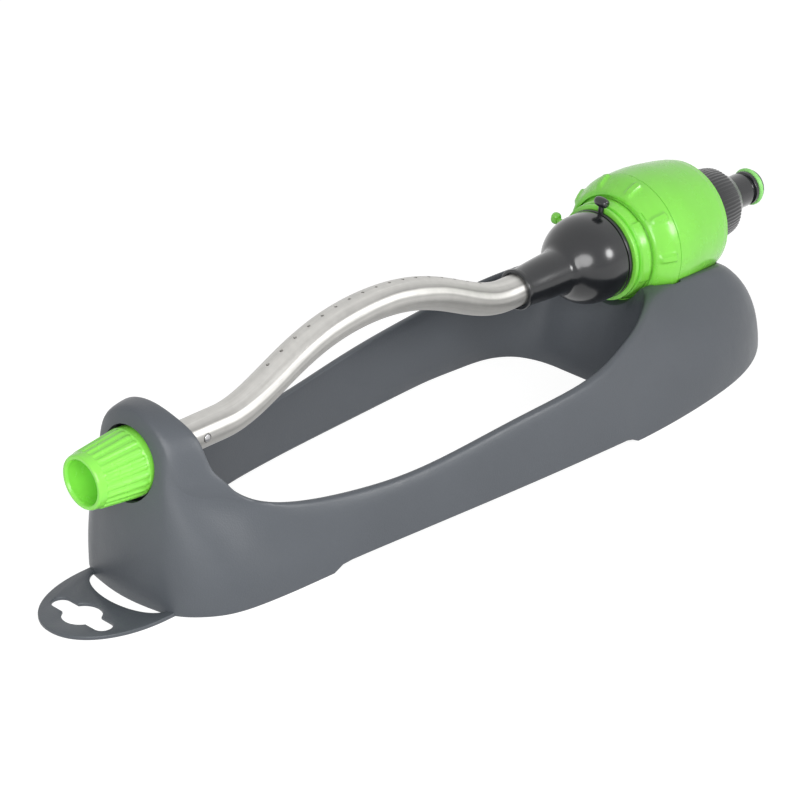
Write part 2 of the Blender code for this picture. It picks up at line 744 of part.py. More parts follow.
def cleaning_needle(material):
    """The nozzle needle held in the cap's web."""
    web_front = CAP_TIP_X + CAP_MOUTH_DEPTH
    profile = [
        (web_front - 1.3, 0),
        (web_front - 1.3, 2.0),
        (web_front - GAP, 2.0),
        (web_front - GAP, NEEDLE_RADIUS),
        (web_front + NEEDLE_LENGTH, NEEDLE_RADIUS),
        (web_front + NEEDLE_LENGTH + 1.2, 0),
    ]
    return lathe("cleaning_needle", profile, material, 8, closed=False)


def dome_coupling(material):
    """The round coupling between the spray tube and the motor's shaft."""
    neck_bore = TUBE_RADIUS + GAP
    seat = TUBE_REAR_X + WASHER_THICKNESS + 2 * GAP
    root_x = DOME_X - DOME_LENGTH * 0.82
    profile = [(NECK_X, neck_bore), (NECK_X, NECK_RADIUS), (root_x - 3, NECK_ROOT_RADIUS)]
    for degrees in (28, 40, 52, 64, 76, 90):
        turn = math.radians(degrees)
        profile.append((DOME_X - DOME_LENGTH * math.cos(turn), DOME_RADIUS * math.sin(turn)))
    profile += [(DOME_REAR_X, DOME_RADIUS), (DOME_REAR_X, DOME_RADIUS - DOME_WALL)]
    for degrees in (78, 62, 46):
        turn = math.radians(degrees)
        profile.append(
            (DOME_X - (DOME_LENGTH - DOME_WALL) * math.cos(turn), (DOME_RADIUS - DOME_WALL) * math.sin(turn))
        )
    profile += [
        (DOME_X - DOME_LENGTH * 0.7, HUB_RADIUS),
        (HUB_REAR_X, HUB_RADIUS),
        (HUB_REAR_X, SHAFT_RADIUS + GAP),
        (SHAFT_FRONT_X + 12, SHAFT_RADIUS + GAP),
        (SHAFT_FRONT_X + 12, SHAFT_BORE_RADIUS),
        (seat, SHAFT_BORE_RADIUS),
        (seat, neck_bore),
    ]
    dome = lathe("dome_coupling", profile, material, 28)
    hexagon = prism("hexagon", circle(HEX_FRONT_RADIUS + GAP, 6), SHAFT_FRONT_X - GAP, SHAFT_FRONT_X + 13)
    return cut(dome, hexagon)


def tube_seal(material):
    """The seal between the tube's end and the coupling."""
    front = TUBE_REAR_X + GAP
    profile = [
        (front, SHAFT_BORE_RADIUS + 0.8),
        (front, TUBE_RADIUS - 0.1),
        (front + WASHER_THICKNESS, TUBE_RADIUS - 0.1),
        (front + WASHER_THICKNESS, SHAFT_BORE_RADIUS + 0.8),
    ]
    return lathe("tube_seal", profile, material, 16)


def output_shaft(material):
    """The hollow shaft that turns the dome and carries water to it."""
    shoulder = TRAIN_X - 0.6
    web = shoulder - 1.9
    arbor_bore = ARBOR_RADIUS + GAP
    tail = TRAIN_X + WHEEL_WIDTH
    profile = [
        (SHAFT_FRONT_X + 12 + GAP, SHAFT_BORE_RADIUS),
        (SHAFT_FRONT_X + 12 + GAP, SHAFT_RADIUS),
        (shoulder, SHAFT_RADIUS),
        (shoulder, arbor_bore),
        (web, arbor_bore),
        (web, 0),
        (web - 1.5, 0),
        (web - 1.5, SHAFT_BORE_RADIUS),
    ]
    shaft = lathe("output_shaft", profile, material, 16)
    front = prism("front", circle(HEX_FRONT_RADIUS, 6), SHAFT_FRONT_X, SHAFT_FRONT_X + 13)
    back = prism("back", circle(HEX_TAIL_RADIUS, 6), shoulder - 1.0, tail)
    join(shaft, front, back)
    bore = rod("bore", SHAFT_FRONT_X - 1, SHAFT_FRONT_X + 14, SHAFT_BORE_RADIUS - 0.02, sides=20)
    arbor = rod("arbor", web, tail + 1, arbor_bore - 0.02, sides=12)
    reach = SHAFT_RADIUS + 1
    port = block("port", (PLATE_FRONT_X - 5.2, -reach, -2.2), (PLATE_FRONT_X - 1.2, reach, 2.2))
    return cut(shaft, bore, arbor, port)


def involute(angle):
    return math.tan(angle) - angle


def gear_outline(teeth, half_pitch_turn):
    """Tooth outline as (y, z). A tooth points up, or a gap does when half_pitch_turn is set."""
    pitch = MODULE * teeth / 2
    pressure = math.radians(PRESSURE_ANGLE)
    base = pitch * math.cos(pressure)
    root = pitch - DEDENDUM * MODULE
    tip = pitch + ADDENDUM * MODULE
    half = (math.pi * MODULE / 2 - BACKLASH) / 2 / pitch

    def spread(radius):
        at = math.acos(min(base / max(radius, base), 1.0))
        return half + involute(pressure) - involute(at)

    radii = [root, tip] if teeth > PINION_TEETH else [root, max(base, root) + 0.15, tip]
    flank = [(radius, spread(radius)) for radius in radii]
    turn = math.pi / teeth if half_pitch_turn else 0.0
    points = []
    for tooth in range(teeth):
        middle = turn + 2 * math.pi * tooth / teeth
        for radius, angle in [(r, -a) for r, a in flank] + list(reversed(flank)):
            points.append((-radius * math.sin(middle + angle), radius * math.cos(middle + angle)))
    return points


def output_gear(material):
    """The last wheel, on the shaft's hexagonal tail."""
    gear = prism("output_gear", gear_outline(WHEEL_TEETH, False), TRAIN_X, TRAIN_X + WHEEL_WIDTH, material)
    return cut(gear, prism("seat", circle(HEX_TAIL_RADIUS + GAP, 6), TRAIN_X - 1, TRAIN_X + WHEEL_WIDTH + 1))


def stage_gear(name, stage, bore, material):
    """A wheel and the pinion in front of it, made as one piece."""
    start = TRAIN_X + STAGE * stage
    wheel = prism(name, gear_outline(WHEEL_TEETH, False), start, start + WHEEL_WIDTH, material)
    pinion = prism("pinion", gear_outline(PINION_TEETH, True), start - STAGE - 0.2, start + 0.5)
    join(wheel, pinion)
    return cut(wheel, rod("bore", start - 2 * STAGE, start + 2 * STAGE, bore, sides=12))


def turbine_wheel(material):
    """The bladed wheel and its pinion."""
    outline = []
    hub, tip = TURBINE_HUB_RADIUS, TURBINE_RADIUS
    for blade in range(TURBINE_BLADES):
        turn = 2 * math.pi * blade / TURBINE_BLADES
        for radius, side in ((hub, -1), (tip, -1), (tip, 1), (hub, 1)):
            angle = turn + side * math.asin(BLADE_THICKNESS / 2 / radius)
            outline.append((-radius * math.sin(angle), radius * math.cos(angle)))
    wheel = prism("turbine_wheel", outline, TURBINE_X, TURBINE_X + TURBINE_WIDTH, material)
    pinion_front = TRAIN_X + 3 * STAGE - 0.2
    pinion = prism("pinion", gear_outline(PINION_TEETH, True), pinion_front, PLATE_REAR_X - 0.4)
    stem = rod("stem", PLATE_REAR_X - 0.8, TURBINE_X + 1, PINION_RADIUS - DEDENDUM * MODULE - 0.1, sides=12)
    join(stem, pinion)
    join(wheel, stem)
    wheel_rear = TURBINE_X + TURBINE_WIDTH
    return cut(wheel, rod("bore", pinion_front - 1, wheel_rear + 1, ARBOR_RADIUS + SHAFT_GAP, sides=12))


def gear_arbor(material):
    """The fixed pin on the spray axis, from the jet plate into the shaft's tail."""
    rear = JET_PLATE_X + JET_PLATE_THICKNESS - GAP
    return rod("gear_arbor", TRAIN_X - 2.0, rear, ARBOR_RADIUS, material, 12)


def layshaft(material):
    """The fixed pin of the lower gears."""
    rear = PLATE_REAR_X + PLATE_THICKNESS - GAP
    return rod("layshaft", PLATE_FRONT_X + GAP, rear, ARBOR_RADIUS, material, 12)


def polar(radius, degrees):
    """A (y, z) place at an angle from the top, positive towards the near side."""
    turn = math.radians(degrees)
    return -radius * math.sin(turn), radius * math.cos(turn)


def plate_holes(x_start, x_end, shaft_radius):
    """The holes that both gear plates share."""
    lay = rod("lay", x_start, x_end, ARBOR_RADIUS + GAP, sides=12)
    placed(lay, Matrix.Translation((0, 0, -CENTRE_DISTANCE)))
    lever = rod("lever", x_start, x_end, LEVER_ROD_RADIUS + GAP, sides=12)
    placed(lever, Matrix.Translation((0, 0, LEVER_HEIGHT)))
    return [rod("middle", x_start, x_end, shaft_radius, sides=20), lay, lever]


def gear_plate_front(material):
    """The plate that closes the gear case."""
    start, end = PLATE_FRONT_X, PLATE_FRONT_X + PLATE_THICKNESS
    plate = rod("gear_plate_front", start, end, PLATE_FRONT_RADIUS, material, 24)
    holes = plate_holes(start - 1, end + 1, SHAFT_RADIUS + SHAFT_GAP)
    for angle in PILLAR_ANGLES:
        y, z = polar(PILLAR_CIRCLE, angle)
        hole = rod("hole", start - 1, end + 1, GEAR_SCREW_RADIUS + GAP, sides=8)
        holes.append(placed(hole, Matrix.Translation((0, y, z))))
    return cut(plate, *holes)


def gear_plate_rear(material):
    """The plate with four pillars that the front plate screws to."""
    start, end = PLATE_REAR_X, PLATE_REAR_X + PLATE_THICKNESS
    plate = rod("gear_plate_rear", start, end, PLATE_REAR_RADIUS, material, 28)
    tip = PLATE_FRONT_X + PLATE_THICKNESS + GAP
    for angle in PILLAR_ANGLES:
        y, z = polar(PILLAR_CIRCLE, angle)
        pillar = rod("pillar", tip, start + 0.5, PILLAR_RADIUS, sides=12)
        join(plate, placed(pillar, Matrix.Translation((0, y, z))))
    for angle in PILLAR_ANGLES:
        y, z = polar(PILLAR_CIRCLE, angle)
        hole = rod("hole", tip - 1, tip + GEAR_SCREW_LENGTH, GEAR_SCREW_RADIUS + GAP, sides=8)
        cut(plate, placed(hole, Matrix.Translation((0, y, z))))
    return cut(plate, *plate_holes(start - 1, end + 1, PINION_RADIUS))


def screw(name, length, radius, head_radius, head_height, material, sides=8):
    """A pan head screw along X, its head's seat at the origin and its head in front."""
    profile = [
        (-head_height, 0),
        (-head_height, head_radius * 0.8),
        (-head_height * 0.5, head_radius),
        (0, head_radius),
        (0, radius),
        (length - radius, radius),
        (length, 0),
    ]
    body = lathe(name, profile, material, sides, closed=False)
    reach = head_radius * 0.7
    slot = block("slot", (-2 * head_height, -reach, -0.3), (-head_height * 0.6, reach, 0.3))
    return cut(body, slot)


def gear_screws(material):
    screws = []
    sizes = (GEAR_SCREW_LENGTH, GEAR_SCREW_RADIUS, GEAR_SCREW_HEAD, GEAR_SCREW_HEAD_HEIGHT)
    for number, angle in enumerate(PILLAR_ANGLES, 1):
        part = screw(f"gear_screw_{number}", *sizes, material)
        y, z = polar(PILLAR_CIRCLE, angle)
        screws.append((part, (PLATE_FRONT_X - GAP, y, z)))
    return screws


def mount_screws(material):
    """The two screws that hold the motor in its cradle, driven up from below."""
    screws = []
    seat = SADDLE_RADIUS + WALL + GAP
    sizes = (MOUNT_SCREW_LENGTH, MOUNT_SCREW_RADIUS, MOUNT_HEAD_RADIUS, MOUNT_HEAD_HEIGHT)
    for name, x in (("mount_screw_front", BOSS_FRONT_X), ("mount_screw_rear", BOSS_REAR_X)):
        part = screw(name, *sizes, material)
        placed(part, Matrix.Rotation(-math.pi / 2, 4, "Y"))
        screws.append((part, (x, 0, -seat)))
    return screws


def jet_plate(material):
    """The plate whose slanted jets drive the turbine."""
    start, end = JET_PLATE_X, JET_PLATE_X + JET_PLATE_THICKNESS
    radius = radius_at(BARREL_SHAPE, end) - BARREL_WALL - GAP - 0.1
    plate = rod("jet_plate", start, end, radius, material, 28)
    holes = []
    lean = Matrix.Rotation(math.radians(JET_TILT), 4, "Z")
    place = Matrix.Translation(((start + end) / 2, 0, JET_CIRCLE)) @ lean
    for i in range(JET_COUNT):
        drill = rod("jet", -6, 6, JET_RADIUS, sides=8)
        turn = Matrix.Rotation(2 * math.pi * (i + 0.5) / JET_COUNT, 4, "X")
        holes.append(placed(drill, turn @ place))
    holes.append(rod("middle", start - 1, end + 1, ARBOR_RADIUS + GAP, sides=12))
    lever = rod("lever", start - 1, end + 1, LEVER_ROD_RADIUS + GAP, sides=12)
    holes.append(placed(lever, Matrix.Translation((0, 0, LEVER_HEIGHT))))
    return cut(plate, *holes)


def reversing_lever(material):
    """The rod with a trip finger in front and the jet vane behind. Its own axis is the origin."""
    lever = rod("reversing_lever", LEVER_FINGER_X, VANE_X + VANE_WIDTH, LEVER_ROD_RADIUS, material, 10)
    finger = [(-1.3, -0.5), (1.3, -0.5), (0.8, LEVER_FINGER_REACH), (-0.8, LEVER_FINGER_REACH)]
    vane = [(-1.3, 0.8), (-VANE_HALF_WIDTH, -VANE_LENGTH), (VANE_HALF_WIDTH, -VANE_LENGTH), (1.3, 0.8)]
    front = prism("finger", finger, LEVER_FINGER_X - 0.4, LEVER_FINGER_X + LEVER_FINGER_WIDTH)
    rear = prism("vane", vane, VANE_X, VANE_X + VANE_WIDTH + 0.4)
    return join(lever, front, rear)


def front_cover(material):
    """The fixed front half of the motor: shaft bearing, neck for the limit rings, skirt into the barrel."""
    bore = SHAFT_RADIUS + SHAFT_GAP
    wall_rear = COVER_WALL_X + COVER_WALL
    seal_rear = COVER_FRONT_X + 2.4 + SEAL_WIDTH + GAP
    boss_front = COVER_FRONT_X + 2.1
    cone = [(x, radius - COLLAR_WALL - GAP - 0.35) for x, radius in COLLAR_SHAPE[:-1]]
    cone[0] = (COLLAR_FRONT_X + GAP, cone[0][1])
    inner_skirt = COVER_SKIRT_RADIUS - COVER_SKIRT_WALL
    profile = [
        (seal_rear, bore),
        (COVER_BOSS_REAR_X, bore),
        (COVER_BOSS_REAR_X, COVER_BOSS_RADIUS),
        (wall_rear, COVER_BOSS_RADIUS),
        (wall_rear, cone[0][1] - COVER_SKIRT_WALL - 0.8),
        (cone[1][0], cone[1][1] - COVER_SKIRT_WALL),
        (cone[2][0], cone[2][1] - COVER_SKIRT_WALL),
        (COVER_SKIRT_X, inner_skirt),
        (COVER_SKIRT_X, COVER_SKIRT_RADIUS),
        (cone[2][0] + 1.5, COVER_SKIRT_RADIUS),
        cone[2],
        cone[1],
        cone[0],
        (COLLAR_FRONT_X + GAP, COVER_NECK_RADIUS),
        (COVER_FRONT_X, COVER_NECK_RADIUS),
        (COVER_FRONT_X, COVER_NECK_RADIUS - COVER_NECK_WALL),
        (COVER_WALL_X, COVER_NECK_RADIUS - COVER_NECK_WALL),
        (COVER_WALL_X, COVER_BOSS_RADIUS),
        (boss_front, COVER_BOSS_RADIUS),
        (boss_front, SEAL_RADIUS + GAP),
        (seal_rear, SEAL_RADIUS + GAP),
    ]
    return lathe("front_cover", profile, material, 28)


def shaft_seal(material):
    """The lip seal round the shaft."""
    start = COVER_FRONT_X + 2.4
    inner = SHAFT_RADIUS + SHAFT_GAP
    end = start + SEAL_WIDTH
    profile = [(start, inner), (start, SEAL_RADIUS), (end, SEAL_RADIUS), (end, inner)]
    return lathe("shaft_seal", profile, material, 16)


def finger_tab(ring, x, start, reach, angle, length):
    """A stem and a rounded head that stand out of a limit ring."""
    stem = upright("stem", x, 0, start, reach, TAB_STEM_RADIUS, sides=8)
    head = crossbar("head", x, reach, -length / 2, length / 2, TAB_HEAD_RADIUS, sides=12)
    turn = Matrix.Rotation(math.radians(angle), 4, "X")
    return join(ring, placed(stem, turn), placed(head, turn))


def black_limit_ring(material):
    """The limit ring beside the dome."""
    start = DOME_REAR_X + 0.4
    end = start + RING_WIDTH_BLACK
    inner = COVER_NECK_RADIUS + GAP
    outer = inner + RING_WALL_BLACK
    profile = [(start, inner), (start, outer), (end, outer), (end, inner)]
    ring = lathe("black_limit_ring", profile, material, 36)
    middle = (start + end) / 2
    return finger_tab(ring, middle, inner + 1.5, BLACK_TAB_REACH, BLACK_TAB_ANGLE, BLACK_HEAD_LENGTH)


def green_limit_ring(material):
    """The limit ring beside the grip collar, with raised pads behind its groove."""
    start = DOME_REAR_X + 0.4 + RING_WIDTH_BLACK + GAP
    end = COLLAR_FRONT_X - GAP
    inner = COVER_NECK_RADIUS + GAP
    outer = inner + RING_WALL_GREEN
    groove = start + 2.6
    profile = [
        (start, inner),
        (start, outer - 0.3),
        (start + 0.5, outer),
        (groove - 0.8, outer),
        (groove - 0.4, outer - RING_GROOVE),
        (groove + 0.6, outer - RING_GROOVE),
        (groove + 1.0, outer),
        (end - 0.6, outer + 0.4),
        (end, outer - 0.4),
        (end, inner),
    ]
    sides = 10 * PAD_COUNT

    def pads(x, radius, step):
        raised = groove + 0.8 < x < end and radius > outer - 0.2 and step % 10 < 5
        return PAD_HEIGHT if raised else 0

    ring = lathe("green_limit_ring", profile, material, sides, pads)
    return finger_tab(ring, start + 1.6, inner + 1.5, GREEN_TAB_REACH, GREEN_TAB_ANGLE, GREEN_HEAD_LENGTH)


def grip_collar(material):
    """The turning collar with its raised finger grips."""
    front, front_radius = COLLAR_SHAPE[0]
    rear = PARTING_X - GAP / 2
    outside = [(front, front_radius - 0.8), (front + 0.7, front_radius)]
    outside += [(x, radius) for x, radius in COLLAR_SHAPE[1:-1]] + [(rear, COLLAR_SHAPE[-1][1])]
    profile = outside + [(rear, COVER_SKIRT_RADIUS + GAP + 0.1)]
    profile += [(x, radius - COLLAR_WALL) for x, radius in reversed(COLLAR_SHAPE[:-1])]
    steps = 5

    def grips(x, radius, step):
        raised = (x, radius) in COLLAR_SHAPE[1:-1] and step % steps in (0, 1)
        return GRIP_HEIGHT if raised else 0

    collar = lathe("grip_collar", profile, material, steps * GRIP_COUNT, grips)
    turn = math.radians(GRIP_ANGLE - 180 / GRIP_COUNT / steps)
    return placed(collar, Matrix.Rotation(turn, 4, "X"))


def motor_barrel(material):
    """The rear half of the motor with its threaded spigot and screw bosses."""
    inner_end = BARREL_REAR_X - BARREL_WALL
    step = COVER_SKIRT_X + 2 * GAP + GASKET_WIDTH
    skirt = COVER_SKIRT_RADIUS + GAP
    spigot_end = BARREL_REAR_X + SPIGOT_LENGTH
    inside = [(x, radius - BARREL_WALL) for x, radius in BARREL_SHAPE if step < x < inner_end]
    profile = [(BARREL_FRONT_X, skirt), *BARREL_SHAPE]
    profile += [
        (BARREL_REAR_X, BARREL_REAR_RADIUS),
        (BARREL_REAR_X, SPIGOT_RADIUS),
        (spigot_end, SPIGOT_RADIUS),
        (spigot_end, SPIGOT_BORE_RADIUS),
        (inner_end, SPIGOT_BORE_RADIUS),
        (inner_end, inside[-1][1] - 0.4),
        *reversed(inside),
        (step, inside[0][1]),
        (step, skirt),
    ]
    barrel = lathe("motor_barrel", profile, material, 32)
    for x in (BOSS_FRONT_X, BOSS_REAR_X):
        start = -radius_at(BARREL_SHAPE, x) + BARREL_WALL / 2
        join(barrel, upright("boss", x, 0, start, -BOSS_TOP, BOSS_RADIUS, sides=16))
    depth = MOUNT_SCREW_LENGTH - WALL - GAP
    for x in (BOSS_FRONT_X, BOSS_REAR_X):
        top = -SADDLE_RADIUS + depth + 2 * GAP
        cut(barrel, upright("hole", x, 0, -SADDLE_RADIUS - 4, top, MOUNT_SCREW_RADIUS + GAP, sides=12))
    return barrel


def barrel_gasket(material):
    """The flat seal between the cover's skirt and the barrel's step."""
    start = COVER_SKIRT_X + GAP
    end = start + GASKET_WIDTH
    inner = COVER_SKIRT_RADIUS - COVER_SKIRT_WALL + 0.2
    profile = [(start, inner), (start, COVER_SKIRT_RADIUS), (end, COVER_SKIRT_RADIUS), (end, inner)]
    return lathe("barrel_gasket", profile, material, 20)


def inlet_strainer(material):
    """The slotted cup that keeps grit out of the motor."""
    outer = SPIGOT_BORE_RADIUS - GAP
    end = BARREL_REAR_X + SPIGOT_LENGTH - 1.5
    start = end - STRAINER_LENGTH
    profile = [
        (start, 0),
        (start, outer - 2.4),
        (end - 1.2, outer - 1.2),
        (end - 1.2, outer),
        (end, outer),
        (end, outer - 1.2 - STRAINER_WALL),
        (start + STRAINER_WALL, outer - 2.4 - STRAINER_WALL),
        (start + STRAINER_WALL, 0),
    ]
    cup = lathe("inlet_strainer", profile, material, 20, closed=False)
    slots = []
    for i in range(3):
        slot = block("slot", (start + 2.2, -outer - 1, -0.9), (end - 2.4, outer + 1, 0.9))
        slots.append(placed(slot, Matrix.Rotation(math.pi * i / 3, 4, "X")))
    return cut(cup, *slots)


def inlet_washer(material):
    """The hose washer between the spigot and the nipple's flange."""
    start = BARREL_REAR_X + SPIGOT_LENGTH + GAP
    profile = [
        (start, NIPPLE_BORE_RADIUS + 2.5),
        (start, SPIGOT_RADIUS - 0.5),
        (start + WASHER_THICKNESS, SPIGOT_RADIUS - 0.5),
        (start + WASHER_THICKNESS, NIPPLE_BORE_RADIUS + 2.5),
    ]
    return lathe("inlet_washer", profile, material, 16)


def swivel_collar(material):
    """The knurled union nut on the spigot."""
    shoulder = BARREL_REAR_X + SPIGOT_LENGTH + WASHER_THICKNESS + FLANGE_THICKNESS + 3 * GAP
    inner = SPIGOT_RADIUS + GAP
    profile = [
        (UNION_FRONT_X, inner),
        (UNION_FRONT_X, UNION_RADIUS - 1.0),
        (UNION_FRONT_X + 1.0, UNION_RADIUS),
        (UNION_WAIST_X - 0.8, UNION_RADIUS - 0.6),
        (UNION_WAIST_X + 1.0, UNION_RADIUS - 3.0),
        (UNION_REAR_X - 1.5, UNION_REAR_RADIUS + 0.2),
        (UNION_REAR_X, UNION_REAR_RADIUS - 0.6),
        (UNION_REAR_X, NIPPLE_RADIUS + GAP),
        (shoulder, NIPPLE_RADIUS + GAP),
        (shoulder, inner),
    ]

    def knurl(x, radius, step):
        ribbed = UNION_FRONT_X + 0.5 < x < UNION_WAIST_X and radius > UNION_REAR_RADIUS
        return UNION_RIB_HEIGHT * (step % 2) if ribbed else 0

    return lathe("swivel_collar", profile, material, 2 * UNION_RIBS, knurl)


def hose_nipple(material):
    """The quick-connect nipple that swivels in the union nut."""
    flange = BARREL_REAR_X + SPIGOT_LENGTH + WASHER_THICKNESS + 2 * GAP
    waist_end = NIPPLE_WAIST_X + NIPPLE_WAIST_LENGTH
    groove = NIPPLE_RADIUS - 1.9
    half = O_RING_WIRE + 0.25
    profile = [
        (flange, NIPPLE_BORE_RADIUS),
        (flange, SPIGOT_RADIUS - GAP),
        (flange + FLANGE_THICKNESS, SPIGOT_RADIUS - GAP),
        (flange + FLANGE_THICKNESS, NIPPLE_RADIUS),
        (NIPPLE_WAIST_X - 0.6, NIPPLE_RADIUS),
        (NIPPLE_WAIST_X, NIPPLE_WAIST_RADIUS),
        (waist_end, NIPPLE_WAIST_RADIUS),
        (waist_end + 0.6, NIPPLE_RADIUS),
        (O_RING_X - half, NIPPLE_RADIUS),
        (O_RING_X - half, groove),
        (O_RING_X + half, groove),
        (O_RING_X + half, NIPPLE_RADIUS),
        (NIPPLE_END_X - 1.0, NIPPLE_RADIUS - 0.2),
        (NIPPLE_END_X, NIPPLE_TIP_RADIUS),
        (NIPPLE_END_X, NIPPLE_BORE_RADIUS),
    ]
    return lathe("hose_nipple", profile, material, 18)


def nipple_o_ring(material):
    """The sealing ring in the nipple's groove."""
    middle = NIPPLE_RADIUS - 1.9 + GAP + O_RING_WIRE
    profile = []
    for i in range(6):
        turn = 2 * math.pi * i / 6
        profile.append((O_RING_X + O_RING_WIRE * math.sin(turn), middle + O_RING_WIRE * math.cos(turn)))
    return lathe("nipple_o_ring", profile, material, 20)


def frame_empty(name, height):
    """An empty that carries the pieces built from the ground or from the spray axis."""
    empty = bpy.data.objects.new(name, None)
    empty.location = Vector((SHIFT_X, 0, height)) * MM
    bpy.context.scene.collection.objects.link(empty)
    return empty


def hold(obj, parent, place=(0, 0, 0)):
    obj.parent = parent
    obj.location = Vector(place) * MM


def main():
    for obj in list(bpy.data.objects):
        bpy.data.objects.remove(obj)
    slate = plastic("slate_plastic", (0.088, 0.098, 0.114), 0.55)
    green = plastic("lime_plastic", (0.22, 0.78, 0.08), 0.3)
    black = plastic("black_plastic", (0.045, 0.048, 0.055), 0.28)
    inner = plastic("natural_plastic", (0.75, 0.74, 0.70), 0.45)
    aluminium = plastic("brushed_aluminium", (0.70, 0.68, 0.65), 0.35, 1.0)
    steel = plastic("steel", (0.60, 0.60, 0.61), 0.3, 1.0)
    rubber = plastic("rubber", (0.03, 0.03, 0.03), 0.8)
    green_rubber = plastic("green_rubber", (0.16, 0.62, 0.08), 0.5)

    ground = frame_empty("ground", 0)
    hold(base_frame(slate), ground)

    axis = frame_empty("spray_axis", AXIS_HEIGHT)
    for part in (
        front_bush(inner),
        spray_tube(aluminium),
        front_journal(black),
        journal_pin(steel),
        end_cap(green),
        cap_washer(rubber),
        cleaning_needle(steel),
        dome_coupling(black),
        tube_seal(rubber),
        output_shaft(inner),
        output_gear(inner),
        gear_arbor(steel),
        gear_plate_front(inner),
        gear_plate_rear(inner),
        jet_plate(inner),
        front_cover(green),
        shaft_seal(rubber),
        black_limit_ring(black),
        green_limit_ring(green),
        grip_collar(green),
        motor_barrel(green),
        barrel_gasket(rubber),
        inlet_strainer(inner),
        inlet_washer(rubber),
        swivel_collar(black),
        hose_nipple(black),
        nipple_o_ring(green_rubber),
        turbine_wheel(inner),
        stage_gear("upper_gear", 2, ARBOR_RADIUS + SHAFT_GAP, inner),
    ):
        hold(part, axis)
    lay = (0, 0, -CENTRE_DISTANCE)
    for part in (
        layshaft(steel),
        stage_gear("lower_gear_front", 1, ARBOR_RADIUS + SHAFT_GAP, inner),
        stage_gear("lower_gear_rear", 3, ARBOR_RADIUS + SHAFT_GAP, inner),
    ):
        hold(part, axis, lay)
    hold(reversing_lever(inner), axis, (0, 0, LEVER_HEIGHT))
    for part, place in gear_screws(steel) + mount_screws(steel):
        hold(part, axis, place)


if __name__ == "__main__":
    main()
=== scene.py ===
"""Oscillating lawn sprinkler, dressed for a close look.

A moulded ring base holds a bent spray tube that rocks between a front post and a water motor. Sizes are in
millimetres and turn into metres when a piece is finished. Places along X are counted from the motor's parting
line, and turned pieces are made round the spray axis, as the solids are."""

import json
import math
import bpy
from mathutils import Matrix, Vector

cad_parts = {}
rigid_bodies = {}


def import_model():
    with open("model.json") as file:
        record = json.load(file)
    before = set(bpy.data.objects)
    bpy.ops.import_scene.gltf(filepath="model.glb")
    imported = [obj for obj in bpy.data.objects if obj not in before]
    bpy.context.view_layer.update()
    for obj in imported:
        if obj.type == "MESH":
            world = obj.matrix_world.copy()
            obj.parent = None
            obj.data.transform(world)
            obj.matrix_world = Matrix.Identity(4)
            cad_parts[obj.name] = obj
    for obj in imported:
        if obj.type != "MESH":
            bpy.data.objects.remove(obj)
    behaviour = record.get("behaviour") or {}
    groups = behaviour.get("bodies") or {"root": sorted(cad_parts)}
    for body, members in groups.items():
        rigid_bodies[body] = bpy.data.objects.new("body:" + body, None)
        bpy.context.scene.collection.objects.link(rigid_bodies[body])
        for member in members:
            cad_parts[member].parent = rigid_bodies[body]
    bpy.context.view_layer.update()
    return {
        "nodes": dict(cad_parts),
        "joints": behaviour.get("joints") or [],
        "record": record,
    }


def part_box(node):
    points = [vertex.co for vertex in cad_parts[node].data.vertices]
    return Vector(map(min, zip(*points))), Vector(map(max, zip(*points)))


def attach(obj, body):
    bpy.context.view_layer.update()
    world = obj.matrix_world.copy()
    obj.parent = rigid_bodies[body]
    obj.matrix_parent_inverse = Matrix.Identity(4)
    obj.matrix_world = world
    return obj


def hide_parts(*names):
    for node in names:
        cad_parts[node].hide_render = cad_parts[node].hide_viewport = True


bl_info = {
    "name": "Oscillating Sprinkler",
    "version": (1, 0, 0),
    "blender": (4, 5, 0),
    "location": "3D View > Sidebar > Sprinkler",
    "description": "Dresses an oscillating lawn sprinkler and lights it in a studio",
    "category": "Object",
}

import bmesh
import bpy
from bpy.props import FloatProperty, FloatVectorProperty, IntProperty, PointerProperty
from mathutils import Matrix, Vector

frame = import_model()

MM = 0.001
RING_STEPS = 8
BARREL_FRONT_X = -4.6
DOME_X = -35.9
PIN_X = -281.5
PIN_RADIUS = 1.7
PIN_HOLE_RADIUS = 2.05
CAP_FLANGE_X = -320.5
RING_BORE = 19.35
SCREW_XS = (14.7, 26.0)
SCREW_HOLE_RADIUS = 2.25
RUNNING_GAP = 0.35
SIDE_FRONT_X = -250.0
SIDE_REAR_X = -67.0
FRONT_HALF_WIDTH = 49.6
REAR_HALF_WIDTH = 63.3
CRADLE_RADIUS = 37.15
BARREL_OUTLINE = (
    (-4.0, 32.8),
    (2.0, 33.0),
    (9.0, 32.8),
    (16.0, 31.9),
    (24.0, 30.6),
    (30.0, 29.4),
    (33.4, 28.2),
)


def joint(name):
    """The frame's joint of that name."""
    return next(j for j in frame["joints"] if j["name"] == name)


AXIS_Z = joint("spray_swing")["pos_m"][2] / MM
DATUM_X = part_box("motor_barrel")[0].x / MM - BARREL_FRONT_X
CAP_TIP_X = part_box("end_cap")[0].x / MM - DATUM_X
CAP_REAR_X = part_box("end_cap")[1].x / MM - DATUM_X
TUBE_FRONT_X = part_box("spray_tube")[0].x / MM - DATUM_X
TUBE_REAR_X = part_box("spray_tube")[1].x / MM - DATUM_X
TUBE_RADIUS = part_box("spray_tube")[1].y / MM
NIPPLE_END_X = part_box("hose_nipple")[1].x / MM - DATUM_X


# Sizes and colours that a user would change


